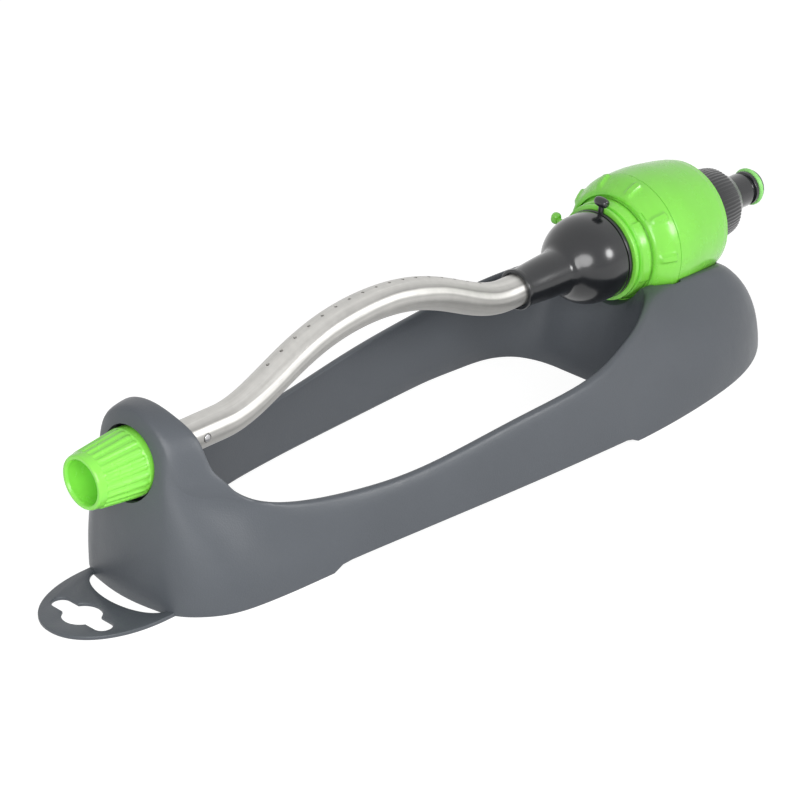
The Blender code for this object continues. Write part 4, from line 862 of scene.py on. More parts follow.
def screw_tree():
    """Pan head screws with a cross recess, one on each point, their heads towards -Z."""
    tree, given, result = new_geometry_tree(
        "Screws on points",
        (
            ("Length", "Float", 0.01),
            ("Radius", "Float", 0.002),
            ("Head radius", "Float", 0.004),
            ("Head height", "Float", 0.002),
            ("Rotation", "Vector", (0.0, 0.0, 0.0)),
            ("Material", "Material", None),
        ),
    )
    height = given["Head height"]
    inputs = {"Segments": 32, "Rings": 16, "Radius": given["Head radius"]}
    sphere = node(tree, "GeometryNodeMeshUVSphere", inputs).outputs["Mesh"]
    flat = maths(tree, "DIVIDE", height, given["Head radius"])
    head = shifted(tree, sphere, Scale=vector(tree, 1.0, 1.0, flat))
    upper = node(tree, "GeometryNodeMeshCube", {"Size": (0.02, 0.02, 0.02)}).outputs["Mesh"]
    upper = shifted(tree, upper, Translation=(0.0, 0.0, 0.01))
    wide = maths(tree, "MULTIPLY", given["Head radius"], 1.1)
    narrow = maths(tree, "MULTIPLY", given["Radius"], 0.45)
    deep = maths(tree, "MULTIPLY", height, 1.2)
    low = vector(tree, 0.0, 0.0, maths(tree, "MULTIPLY", height, -1.0))
    arms = []
    for size in ((wide, narrow, deep), (narrow, wide, deep)):
        arm = node(tree, "GeometryNodeMeshCube", {"Size": vector(tree, *size)}).outputs["Mesh"]
        arms.append(shifted(tree, arm, Translation=low))
    cut = node(tree, "GeometryNodeMeshBoolean", {0: head}, operation="DIFFERENCE", solver="EXACT")
    for cutter in (upper, *arms):
        tree.links.new(cutter, cut.inputs[1])
    inputs = {"Vertices": 24, "Radius Bottom": given["Radius"], "Depth": given["Length"]}
    shank = node(tree, "GeometryNodeMeshCone", inputs)
    tree.links.new(maths(tree, "MULTIPLY", given["Radius"], 0.8), shank.inputs["Radius Top"])
    dip = vector(tree, 0.0, 0.0, maths(tree, "MULTIPLY", height, -0.2))
    shank = shifted(tree, shank.outputs["Mesh"], Translation=dip)
    whole = node(tree, "GeometryNodeMeshBoolean", {}, operation="UNION", solver="EXACT")
    for part in (cut.outputs["Mesh"], shank):
        tree.links.new(part, whole.inputs[1])
    inputs = {"Points": given["Geometry"], "Instance": whole.outputs["Mesh"], "Rotation": given["Rotation"]}
    placed = node(tree, "GeometryNodeInstanceOnPoints", inputs).outputs[0]
    return close_tree(tree, placed, given, result)


# The base


def ring_knots(base):
    """Half of the ring, from the front centre to the rear centre.

    Each knot is the outer foot, the outer and inner edges of the crest, and the inner foot."""
    face, back, foot, heel, radius = -316.0, -304.0, -326.0, -300.0, 24.2
    knots = []
    arch = ((0, 0, 0, 0), (30, 9, 6, 0.8), (60, 18, 12, 3.6), (90, 26.5, 18, 5.6))
    for degrees, foot_y, heel_y, flare in arch:
        turn = math.radians(degrees)
        near = (radius * math.sin(turn), AXIS_Z + radius * math.cos(turn))
        far = ((radius + flare) * math.sin(turn), AXIS_Z + (radius + flare) * math.cos(turn))
        bow = 4.0 * (foot_y / 26.5) ** 2
        knots.append(((foot + bow, foot_y, 0), (face, *near), (back + flare, *far), (heel, heel_y, 0)))
    front, rear = FRONT_HALF_WIDTH, REAR_HALF_WIDTH
    low, high, crest = base.low_height, base.rear_height, base.crest_width
    top = AXIS_Z - 9.7
    lip = AXIS_Z - 26.7
    knots += [
        (
            (foot + 11, front - 13.5, 0),
            (face + 5, 28.5, top + 1.0),
            (back + 10.5, 33.0, top + 2.5),
            (heel + 3, 24.5, 0),
        ),
        (
            (foot + 25, front - 4.5, 0),
            (face + 21, 36.0, top - 6.5),
            (back + 17, 35.0, top - 5.5),
            (heel + 15, 30.0, 0),
        ),
        (
            (-276.0, front - 0.6, 0),
            (-271.0, front - 7.6, top - 14.5),
            (-268.5, front - 11.0, top - 14.2),
            (-266.0, 36.5, 0),
        ),
        (
            (-240.0, front + 1.4, 0),
            (-238.0, 45.6, low + 2.4),
            (-236.0, 45.6 - crest, low + 2.4),
            (-236.0, 40.5, 0),
        ),
        ((-195.0, front + 5.2, 0), (-195.0, 50.6, low), (-195.0, 50.6 - crest, low), (-195.0, 44.8, 0)),
        (
            (-140.0, rear - 4.0, 0),
            (-140.0, 55.0, low + 5.2),
            (-140.0, 55.0 - crest, low + 5.2),
            (-140.0, 47.6, 0),
        ),
        ((-92.0, rear - 1.0, 0), (-92.0, 57.4, high - 1.5), (-92.0, 57.4 - crest, high), (-92.0, 49.6, 0)),
        ((-60.0, rear, 0), (-61.0, 51.8, top - 12.0), (-61.5, 47.5, top - 9.2), (-60.0, rear - 15.0, 0)),
        ((-26.0, rear - 2.0, 0), (-42.0, 45.5, top - 8.0), (-44.5, 41.0, top - 5.8), (-45.5, 41.0, 0)),
        ((8.0, rear - 7.0, 0), (-23.5, 35.5, top - 2.2), (-28.0, 30.5, top - 2.5), (-40.0, 30.0, 0)),
        ((33.0, rear - 15.5, 0), (2.0, 33.5, top - 1.5), (-23.0, 23.0, lip + 15.5), (-38.5, 20.0, 0)),
        ((51.5, rear - 28.0, 0), (23.0, 31.5, top - 2.0), (-23.0, 15.0, lip + 6.5), (-38.5, 13.0, 0)),
        ((62.5, rear - 44.0, 0), (36.5, 20.0, top - 8.0), (-23.0, 7.0, lip + 1.5), (-38.5, 6.5, 0)),
        ((66.5, 0, 0), (41.0, 0, top - 11.0), (-23.0, 0, lip + 0.5), (-38.5, 0, 0)),
    ]
    return knots


def ring_stations(base):
    """The knots smoothed into stations all the way round."""
    knots = [[Vector(point) for point in knot] for knot in ring_knots(base)]
    mirrored = [[Vector((p.x, -p.y, p.z)) for p in knot] for knot in knots]
    loop = knots + mirrored[-2:0:-1]
    count = len(loop)
    stations = []
    for i in range(count):
        a, b, c, d = (loop[(i + k) % count] for k in (-1, 0, 1, 2))
        for step in range(RING_STEPS):
            t = step / RING_STEPS
            station = []
            for p, q, r, s in zip(a, b, c, d):
                square, cube = 2 * p - 5 * q + 4 * r - s, 3 * q - p - 3 * r + s
                curve = 2 * q + (r - p) * t + square * t**2 + cube * t**3
                station.append(curve * 0.5)
            stations.append(station)
    for _ in range(6):
        around = zip(stations[-1:] + stations[:-1], stations, stations[1:] + stations[:1])
        stations = [[(p + 2 * q + r) / 4 for p, q, r in zip(*three)] for three in around]
    return stations


def wall_point(foot, crest, share, bulge):
    """A point of the wall at a share of its height. A bulge over 1 keeps it out over its foot for longer."""
    across = share**bulge
    x = foot.x + (crest.x - foot.x) * across
    y = foot.y + (crest.y - foot.y) * across
    return Vector((x, y, foot.z + (crest.z - foot.z) * share))


def spread_corner(points, reach, step=0.5):
    """An open outline with its corners spread over a reach, and its two ends kept."""
    dense, marks = [points[0]], [0]
    for start, end in zip(points, points[1:]):
        count = max(round((end - start).length / step), 1)
        dense += [start.lerp(end, i / count) for i in range(1, count + 1)]
        marks.append(len(dense) - 1)
    last = len(dense) - 1
    span = max(round(2.5 * reach / step), 1)
    weights = [math.exp(-((i * step / reach) ** 2) / 2) for i in range(-span, span + 1)]
    whole = sum(weights)
    spread_points = []
    for mark in marks:
        near = min(span, mark, last - mark)
        share = sum(weights[span - near : span + near + 1])
        point = Vector((0, 0, 0))
        for i in range(-near, near + 1):
            point += dense[mark + i] * weights[span + i]
        spread_points.append(point / share if near else dense[mark])
    return spread_points


def post_flow(turn, share):
    """How far the wall moves inwards in the valley behind the post's ridge, at a share of its height."""
    depth, knot, lean, width = 2.8, 4.9, 1.3, 0.8
    place = turn - knot - lean * (1 - share)
    return depth * math.exp(-((place / width) ** 2)) * smoothstep(share, 0.15, 0.85)


def ring_section(station, before, after, base, turn):
    """The closed outline of the wall at one station. turn counts the knots from the front centre."""
    wall_steps, crest_steps, squareness = 14, 10, 0.75
    outer_foot, crest_out, crest_in, inner_foot = (p.copy() for p in station)
    for foot, ramp, raised in ((outer_foot, 7.0, 1.0), (inner_foot, 32.0, 0.35)):
        rise = min((foot.x - SIDE_FRONT_X) / ramp, (SIDE_REAR_X - foot.x) / ramp)
        foot.z = base.side_raise * raised * smoothstep(rise, 0, 1)
    inward = Vector((inner_foot.x - outer_foot.x, inner_foot.y - outer_foot.y, 0)).normalized()
    crest_out += inward * post_flow(turn, 1)
    travel = (after[1] + after[2] - before[1] - before[2]).normalized()
    across = (crest_in - crest_out).normalized()
    up = across.cross(travel).normalized()
    rearward = smoothstep(outer_foot.x, SIDE_REAR_X, 0)
    frontward = smoothstep(-outer_foot.x, 280.0, 300.0)
    behind = min(max((outer_foot.x - SIDE_REAR_X) / -SIDE_REAR_X, 0), 1)
    bulge = 1.35 + 1.0 * behind * (0.5 + 0.5 * rearward) + 0.9 * frontward
    drop = base.crest_round
    edge_out = crest_out - up * drop
    edge_in = crest_in - up * drop
    outside = []
    for step in range(wall_steps):
        share = step / wall_steps
        flow = post_flow(turn, share) - post_flow(turn, 1) * share**bulge
        outside.append(wall_point(outer_foot, edge_out, max(share, 0.02), bulge) + inward * flow)
    middle, half = (edge_out + edge_in) / 2, (edge_in - edge_out) / 2
    for step in range(crest_steps + 1):
        angle = math.pi * step / crest_steps
        side = -math.copysign(abs(math.cos(angle)) ** squareness, math.cos(angle))
        outside.append(middle + half * side + up * drop * math.sin(angle) ** squareness)
    reach = base.arch_round + (base.shoulder - base.arch_round) * smoothstep(turn, 3.6, 4.8)
    outside[1:-3] = spread_corner(outside[1:-3], reach)
    points = [outer_foot + inward * 0.7, outer_foot + inward * 0.2 + Vector((0, 0, 0.2))]
    points += outside
    points += [wall_point(inner_foot, edge_in, share, 1.0) for share in (0.85, 0.68, 0.5, 0.34, 0.18, 0.03)]
    points.append(inner_foot - inward * 0.6)
    wall = base.wall
    half_gap = max(half.length - wall, 0.5)
    roof = (crest_out + crest_in) / 2 - up * (wall + drop)
    if outer_foot.x > SIDE_REAR_X and abs(crest_in.y) < CRADLE_RADIUS:
        roof.z = min(roof.z, AXIS_Z - math.sqrt(CRADLE_RADIUS**2 - crest_in.y**2))
    roof_out, roof_in = roof - across * half_gap, roof + across * half_gap
    roof_out.z = roof_in.z = roof.z
    hollow_in = inner_foot - inward * wall
    hollow_out = outer_foot + inward * wall
    points += [hollow_in] + [wall_point(hollow_in, roof_in, share, 1.0) for share in (0.33, 0.66)] + [roof_in]
    points += [roof_out + inward * 0.6]
    for share in (0.75, 0.5, 0.25):
        flow = post_flow(turn, share) - post_flow(turn, 1) * share**bulge
        points.append(wall_point(hollow_out, roof_out, share, bulge) + inward * flow)
    points.append(hollow_out)
    return points


def hang_tab(base):
    """The thin tab with its crescent gap and its eyed slot, its edges rounded."""
    tip, root, half, power = -366.3, -325.0, 28.0, 2.1
    reach = root - tip
    crescent, crescent_depth, crescent_half = -321.5, 12.0, 24.0
    slot_x, slot_end, slot_half, eye_radius = -348.8, 4.3, 18.0, 8.8

    def plate(name, outline, low, high):
        """A flat plate between two heights."""
        bm = bmesh.new()
        floor = bm.faces.new([bm.verts.new((x, y, low)) for x, y in outline])
        top = bmesh.ops.extrude_face_region(bm, geom=[floor])["geom"]
        raised = [v for v in top if isinstance(v, bmesh.types.BMVert)]
        bmesh.ops.translate(bm, vec=(0, 0, high - low), verts=raised)
        return solid(name, bm, 0.0)

    rim_steps, hollow_steps, end_steps = 48, 40, 16
    rim = []
    for i in range(rim_steps + 1):
        x = reach * math.sin(math.pi / 2 * i / rim_steps)
        rim.append((root - x, half * max(1 - (x / reach) ** power, 0) ** (1 / power)))
    rim = [(crescent + 2.5, half)] + rim
    outline = rim + [(x, -y) for x, y in reversed(rim[:-1])]
    hollow = []
    for i in range(hollow_steps + 1):
        turn = math.pi * i / hollow_steps
        hollow.append((crescent - crescent_depth * math.sin(turn), -crescent_half * math.cos(turn)))
    outline += [(crescent + 2.5, -crescent_half)] + hollow + [(crescent + 2.5, crescent_half)]
    tab = plate("tab", outline, 0, base.tab_thickness)
    slot = []
    for side in (1, -1):
        for i in range(end_steps + 1):
            turn = math.pi * i / end_steps
            along = slot_half - slot_end + slot_end * math.sin(turn)
            slot.append((slot_x + side * slot_end * math.cos(turn), side * along))
    opening = plate("slot", slot, -3, 6)
    eye = bar("eye", eye_radius, -3, 6, upright(slot_x), 64, 0.0)
    return softened(combined(tab, "DIFFERENCE", opening, eye), 0.45, angle=60, segments=3)


def turned_cutter(name, profile):
    """A turned cutter whose outline starts and ends on the spray axis."""
    return turned(name, profile, 128, closed=False)


def build_base():
    """Moulds the wall round its stations, cuts its seats and holes, and joins the tab."""
    base = bpy.context.scene.sprinkler_base
    stations = ring_stations(base)
    count = len(stations)
    bm = bmesh.new()
    rows = []
    for i, station in enumerate(stations):
        turn = min(i, count - i) / RING_STEPS
        points = ring_section(station, stations[i - 1], stations[(i + 1) % count], base, turn)
        rows.append([bm.verts.new(p) for p in points])
    for row, following in zip(rows, rows[1:] + rows[:1]):
        for j in range(len(row)):
            k = (j + 1) % len(row)
            bm.faces.new((row[j], row[k], following[k], following[j]))
    shell = solid("base_shell", bm, 0.0)
    seat = [(-56, 0), (-56, 25.95), (-18.3, 25.95), (-18.3, 29.9)]
    seat += [(-14.0, 32.3), (-9.5, 34.5), (-4.775, 34.75)]
    seat += [(x, radius + RUNNING_GAP) for x, radius in BARREL_OUTLINE]
    seat += [(36.6, BARREL_OUTLINE[-1][1] + RUNNING_GAP), (36.6, 0)]
    saddle = turned_cutter("saddle", seat)
    throat = turned_cutter("throat", [(34.2, 0), (34.2, 20.1), (70, 20.1), (70, 0)])
    cap_hole = turned_cutter("cap_hole", [(-330, 0), (-330, 16.7), (-311.2, 16.7), (-311.2, 0)])
    step = [(-313.6, 0), (-313.6, 11.2), (-303.0, 11.2), (-303.0, 14.9), (-290, 14.9), (-290, 0)]
    bush_hole = turned_cutter("bush_hole", step)
    combined(shell, "DIFFERENCE", saddle, throat, cap_hole, bush_hole)
    for x in SCREW_XS:
        hole = bar("screw_hole", SCREW_HOLE_RADIUS, -5, 34.5, upright(x), 32, 0.0)
        combined(shell, "DIFFERENCE", hole)
    combined(shell, "UNION", hang_tab(base))
    smoothed(shell, 32)
    return dress(shell, "base", "slate_plastic", "base_frame")


# The spray tube and what holds its front end


def build_tube():
    """Bends and drills the tube, and sets the pin across its front end."""
    tube = bpy.context.scene.sprinkler_tube
    obj = linked("bent_tube", bpy.data.meshes.new("tube"))
    values = {
        "Front": (TUBE_FRONT_X + DATUM_X) * MM,
        "Rear": (TUBE_REAR_X + DATUM_X) * MM,
        "Arch_start": (tube.arch_start + DATUM_X) * MM,
        "Arch_end": (tube.arch_end + DATUM_X) * MM,
        "Rise": tube.rise * MM,
        "Skew": tube.skew,
        "Radius": TUBE_RADIUS * MM,
        "Bore": (TUBE_RADIUS - tube.wall) * MM,
        "Axis": AXIS_Z * MM,
        "Nozzles": tube.nozzles,
        "First_nozzle": (tube.first + DATUM_X) * MM,
        "Pitch": tube.pitch * MM,
        "Hole": tube.hole * MM,
        "Pin": (PIN_X + DATUM_X) * MM,
        "Pin_hole": PIN_HOLE_RADIUS * MM,
    }
    grown(obj, bent_tube_tree(), "brushed_aluminium", **values)
    smoothed(obj, 40)
    dress(obj, "spray", "brushed_aluminium", "spray_tube")
    across = Matrix.Translation((PIN_X, 0, 0)) @ Matrix.Rotation(math.pi / 2, 4, "Z")
    half = TUBE_RADIUS + 0.2
    pin = softened(bar("cross_pin", PIN_RADIUS, -half, half, across, 32), 0.4, angle=60, segments=3)
    dress(smoothed(pin), "spray", "steel", "journal_pin")


def build_front_end():
    """Turns the ribbed end cap with its deep mouth, and the bush in the post."""
    cap = bpy.context.scene.sprinkler_cap
    tip, rear, flange = CAP_TIP_X, CAP_REAR_X, CAP_FLANGE_X
    waist = cap.tip_radius + 0.25
    thread_bore, needle_hole = 7.55, 0.95
    web = tip + cap.mouth_depth
    outside = [
        (tip + 1.2, cap.mouth_radius, 0.5),
        (tip, cap.mouth_radius + 0.5, 0.5),
        (tip, cap.tip_radius - 0.4, 0.5),
        (tip + 0.8, cap.tip_radius, 0.6),
        (tip + 3.6, cap.tip_radius + 0.45, 0.3),
        (tip + 4.2, waist, 0.2),
    ]
    flank_steps = 20
    for step in range(1, flank_steps):
        share = step / flank_steps
        x = tip + 4.2 + (flange - tip - 4.2) * share
        outside.append((x, waist + (cap.base_radius - waist) * share, 0))
    outside += [
        (flange, cap.base_radius, 0.2),
        (flange + 0.9, 15.4, 0.5),
        (rear, 15.2, 0.5),
        (rear, thread_bore, 0.2),
        (web + 2.4, thread_bore, 0.3),
        (web + 2.4, needle_hole, 0.2),
        (web, needle_hole, 0.2),
        (web, cap.mouth_radius - 0.5, 1.2),
    ]
    body = turned("screw_cap", rounded(outside), cap.ribs * 12)
    start, end, inner = tip + 3.6, flange + 0.6, cap.tip_radius - 0.1
    ribbed(body, "lime_plastic", cap.ribs, cap.rib_height, start, end, inner, fade=0.8, low=-0.6, high=0.9)
    dress(smoothed(body, 40), "cap", "lime_plastic", "end_cap")

    bore = TUBE_RADIUS + RUNNING_GAP
    bush = [
        (-306.75, bore, 0.3),
        (-306.75, 10.85, 0.4),
        (-302.65, 10.85, 0),
        (-302.65, 13.4, 0.4),
        (-301.05, 13.4, 0.5),
        (-301.05, bore, 0.4),
    ]
    dress(turned("post_bush", rounded(bush), 64), "base", "natural_plastic", "front_bush")


# The dome and the limit rings


def build_dome():
    """Turns the hollow dome with its neck for the tube and its hub for the shaft."""
    motor = bpy.context.scene.sprinkler_motor
    radius, middle, length, wall = motor.dome_radius, DOME_X, 21.7, 2.2
    bore = TUBE_RADIUS + RUNNING_GAP
    corners = [
        (-84.5, bore, 0.2),
        (-84.5, 9.9, 0.5),
        (-82.3, 9.9, 0.5),
        (-81.7, 9.25, 0.4),
        (-76.0, 9.65, 0),
        (-70.0, 10.15, 0),
        (-65.0, 10.5, 0),
        (-61.0, 10.7, 0),
    ]
    fillet_steps, ball_steps = 10, 15
    start, bend, end = (-57.6, 10.85), (-54.88, 10.95), (-53.0, 13.36)
    for step in range(fillet_steps + 1):
        t = step / fillet_steps
        parts = zip(start, bend, end)
        corners.append((*((1 - t) ** 2 * a + 2 * t * (1 - t) * b + t * t * c for a, b, c in parts), 0))
    for step in range(1, ball_steps + 1):
        turn = math.radians(38 + 52 * step / ball_steps)
        corners.append((middle - length * math.cos(turn), radius * math.sin(turn), 0))
    corners += [(-29.6, radius, 0.5), (-29.6, radius - wall, 0.4)]
    for degrees in (78, 70, 62, 54, 46):
        turn = math.radians(degrees)
        corners.append((middle - (length - wall) * math.cos(turn), (radius - wall) * math.sin(turn), 0))
    corners += [
        (middle - length * 0.7, 8.8, 0),
        (-27.8, 8.8, 0.3),
        (-27.8, 6.15, 0.3),
        (-46.0, 6.15, 0),
        (-46.0, 4.0, 0),
        (-62.3, 4.0, 0),
        (-62.3, bore, 0),
    ]
    dress(turned("ball_dome", rounded(corners), 128), "spray", "black_plastic", "dome_coupling")


def limit_tab(ring, x, start, reach, angle, length, head):
    """A short stem and a rounded cross head, joined to a limit ring."""
    steps, sides = 16, 24
    turn = Matrix.Rotation(math.radians(angle), 4, "X")
    placed = turn @ Matrix.Translation((x, 0, 0)) @ Matrix.Rotation(-math.pi / 2, 4, "Y")
    stem = bar("stem", 1.4, start, reach, placed, sides)
    bm = bmesh.new()
    rows = []
    for step in range(steps + 1):
        t = math.pi * step / steps
        y = -math.cos(t) * length / 2
        r = head * math.sin(t) ** 0.45
        row = []
        for side in range(sides):
            a = 2 * math.pi * side / sides
            point = Vector((x + r * math.cos(a), y, reach + r * math.sin(a)))
            row.append(bm.verts.new(turn @ point))
        rows.append(row)
    for row, following in zip(rows, rows[1:]):
        for i in range(sides):
            j = (i + 1) % sides
            bm.faces.new((row[i], row[j], following[j], following[i]))
    knob = solid("knob", bm)
    return combined(ring, "UNION", stem, knob)


def build_limit_rings():
    """Turns the black and the green ring and joins a tab to each."""
    start, end, outer = -29.2, -27.2, 21.9
    corners = [(start, RING_BORE, 0.2), (start, outer, 0.4), (end, outer, 0.4), (end, RING_BORE, 0.2)]
    black = turned("black_ring", rounded(corners), 128)
    limit_tab(black, x=-28.2, start=20.8, reach=27.5, angle=5.0, length=7.6, head=2.5)
    dress(smoothed(black, 40), "black_limit", "black_plastic", "black_limit_ring")
    start, end, groove, outer = -26.85, -17.95, -24.25, 23.8

    def pads(x, radius, angle):
        """Two raised grips, one on each side."""
        off = abs((math.degrees(angle) - 77.5 + 90) % 180 - 90)
        along = smoothstep(x, groove + 0.9, groove + 1.6)
        return 0.8 * along * (1 - smoothstep(off, 34.5, 37.0)) if radius > outer - 0.5 else 0

    corners = [
        (start, RING_BORE, 0.2),
        (start, outer, 0.6),
        (groove - 0.8, outer, 0.3),
        (groove - 0.4, outer - 1.3, 0.3),
        (groove + 0.6, outer - 1.3, 0.3),
        (groove + 0.9, outer, 0.2),
    ]
    corners += [(groove + 0.9 + 0.2 * i, outer + 0.08 * i, 0) for i in range(1, 5)]
    corners += [(groove + 1.9 + 0.6 * i, outer + 0.4 + 0.1 * i, 0) for i in range(6)]
    corners += [
        (end, outer + 1.0, 0.4),
        (end, RING_BORE, 0.2),
    ]
    green = turned("green_ring", rounded(corners), 320, pads)
    limit_tab(green, x=start + 1.6, start=20.85, reach=30.8, angle=-74.0, length=5.2, head=2.5)
    dress(smoothed(green, 40), "green_limit", "lime_plastic", "green_limit_ring")


# The motor


def build_collar():
    """Turns the flow collar, raises its grips and cuts the slot in its front edge."""
    motor = bpy.context.scene.sprinkler_motor
    front, rear = -17.6, -5.7
    outside = eased([(front, 28.0), (-14.0, 30.4), (-9.5, 32.6), (rear, 33.2)], 8)
    corners = [(front, 27.3, 0.3), (front + 0.3, 27.95, 0.3)]
    corners += [(x, radius, 0) for x, radius in outside[1:]]
    corners += [(rear, 33.2, 0.8), (rear, 29.75, 0.2), (-9.5, 30.3, 0), (-14.0, 28.1, 0), (front, 25.7, 0.3)]
    collar = turned("flow_collar", rounded(corners), motor.grips * 24)
    ribbed(
        collar,
        "lime_plastic",
        motor.grips,
        motor.grip_height,
        -17.0,
        -7.6,
        26.5,
        turn=motor.grip_turn,
        fade=1.6,
        low=0.72,
        high=0.93,
    )
    turn = Matrix.Rotation(math.radians(41.5), 4, "X")
    across = turn @ Matrix.Translation((-17.7, 0, 28.2)) @ Matrix.Rotation(math.pi / 2, 4, "Z")
    slot = bar("slot", 1.1, -2.2, 2.2, across, 16)
    combined(collar, "DIFFERENCE", slot)
    return dress(smoothed(collar, 40), "grip", "lime_plastic", "grip_collar")


def build_barrel():
    """Turns the barrel with its hose spigot, and gives it the bosses for the cradle's screws."""
    corners = [(-5.0, 29.65, 0.2), (-5.0, BARREL_OUTLINE[0][1], 0.8)]
    corners += [(x, radius, 0) for x, radius in eased(BARREL_OUTLINE, 14)]
    corners += [
        (34.2, BARREL_OUTLINE[-1][1], 1.4),
        (34.2, 12.8, 0.6),
        (47.2, 12.8, 0.5),
        (47.2, 8.9, 0.4),
        (31.6, 8.9, 0),
        (31.6, 26.0, 0),
        (24.0, 28.0, 0),
        (16.0, 29.3, 0),
        (10.4, 30.0, 0),
        (10.4, 29.65, 0),
    ]
    barrel = turned("motor_shell", rounded(corners), 160)
    for x, start in zip(SCREW_XS, (-30.8, -29.0)):
        combined(barrel, "UNION", bar("boss", 4.0, start, -22.6, upright(x), 40))
        combined(barrel, "DIFFERENCE", bar("hole", SCREW_HOLE_RADIUS, -38, -24.4, upright(x), 32))
    return dress(smoothed(barrel, 40), "base", "lime_plastic", "motor_barrel")


# The hose end


def build_union():
    """Turns the union nut, the nipple that it holds and the ring in the nipple's groove."""
    union = bpy.context.scene.sprinkler_union
    shoulder, thread_bore, neck = 51.25, 13.15, union.nipple_radius + RUNNING_GAP
    corners = [
        (38.0, thread_bore, 0.3),
        (38.0, 17.0, 0.4),
        (39.0, 18.1, 0.8),
        (45.0, 18.25, 0),
        (51.0, 18.1, 0),
        (57.4, 17.0, 2.6),
        (60.2, 14.4, 1.6),
        (62.6, 13.2, 0.5),
        (64.0, 12.4, 0.6),
        (64.0, neck, 0.3),
        (shoulder, neck, 0),
        (shoulder, thread_bore, 0),
    ]
    nut = turned("union_nut", rounded(corners), union.ribs * 8)
    ribbed(nut, "black_plastic", union.ribs, union.rib_height, 38.6, 59.0, 15.0, fade=1.6, low=-0.5, high=0.8)
    dress(smoothed(nut, 40), "union", "black_plastic", "swivel_collar")
    radius, end = union.nipple_radius, NIPPLE_END_X
    ring_x, wire, groove = 82.8, 1.25, radius - 1.9
    groove_half = wire + 0.25
    corners = [
        (48.9, union.bore_radius, 0.3),
        (48.9, 12.45, 0.4),
        (50.9, 12.45, 0.3),
        (50.9, radius, 0.2),
        (76.8, radius, 0.3),
        (77.4, 7.0, 0.3),
        (78.9, 7.0, 0.3),
        (79.5, radius, 0.3),
        (ring_x - groove_half, radius, 0.2),
        (ring_x - groove_half, groove, 0.2),
        (ring_x + groove_half, groove, 0.2),
        (ring_x + groove_half, radius, 0.2),
        (end - 0.9, radius - 0.2, 0.4),
        (end, 7.5, 0.3),
        (end, union.bore_radius, 0.6),
    ]
    dress(turned("nipple", rounded(corners), 96), "nipple", "black_plastic", "hose_nipple")
    ring, steps = [], 24
    for step in range(steps):
        turn = 2 * math.pi * step / steps
        ring.append((ring_x + wire * math.sin(turn), groove + 0.35 + wire + wire * math.cos(turn)))
    dress(turned("seal_ring", ring, 96), "nipple", "green_rubber", "nipple_o_ring")


# What is inside or below


def build_screws():
    """Sets the two screws up through the cradle's floor."""
    mesh = bpy.data.meshes.new("screw_points")
    seat_radius, floor = 33.35, 2.75
    seat = AXIS_Z - seat_radius - floor
    mesh.from_pydata([((x + DATUM_X) * MM, 0, seat * MM) for x in SCREW_XS], [], [])
    screws = linked("cradle_screws", mesh)
    grown(screws, screw_tree(), "steel", Length=0.011, Radius=0.0019, Head_radius=0.0038, Head_height=0.0022)
    dress(smoothed(screws, 30), "base", "steel", "mount_screw_front", "mount_screw_rear")


def paint_inner():
    """The pieces inside the motor keep their solids and get their finishes."""
    slots = {part["node"]: part["material_slot"] for part in frame["record"]["subparts"]}
    for name, obj in frame["nodes"].items():
        if obj.hide_render:
            continue
        material = material_for(slots[name])
        if obj.material_slots:
            for slot in obj.material_slots:
                slot.material = material
        else:
            obj.data.materials.append(material)


# The stage


def area_light(name, place, target, size, power, glint=False):
    """A round soft light that faces a target. Only one with a glint shows in gloss."""
    light = bpy.data.lights.new(name, "AREA")
    light.shape = "ELLIPSE"
    light.size, light.size_y = size
    light.energy = power
    obj = linked(name, light)
    obj.location = place
    obj.rotation_mode = "QUATERNION"
    obj.rotation_quaternion = (Vector(target) - Vector(place)).to_track_quat("-Z", "Y")
    obj.visible_glossy = glint


def seen_directly(tree):
    """1 for the camera and for what metal and glass show, 0 for light."""
    path = node(tree, "ShaderNodeLightPath").outputs
    seen = maths(tree, "ADD", path["Is Camera Ray"], path["Is Glossy Ray"])
    return maths(tree, "MINIMUM", maths(tree, "ADD", seen, path["Is Transmission Ray"]), 1.0)


def white_floor(colour):
    """A floor that renders white to the eye, keeps a soft shadow and throws only its own light."""
    material = bpy.data.materials.new("studio_floor")
    material.use_nodes = True
    tree = material.node_tree
    tree.nodes.clear()
    paper = node(tree, "ShaderNodeBsdfDiffuse", {"Color": (*colour, 1)}).outputs[0]
    shade = node(tree, "ShaderNodeBsdfDiffuse", {"Color": (0.3, 0.3, 0.3, 1)}).outputs[0]
    glow = node(tree, "ShaderNodeEmission", {"Color": (1, 1, 1, 1), "Strength": 0.88}).outputs[0]
    lit = node(tree, "ShaderNodeAddShader", (shade, glow)).outputs[0]
    mixed = node(tree, "ShaderNodeMixShader", (seen_directly(tree), paper, lit)).outputs[0]
    node(tree, "ShaderNodeOutputMaterial", {"Surface": mixed})
    return material


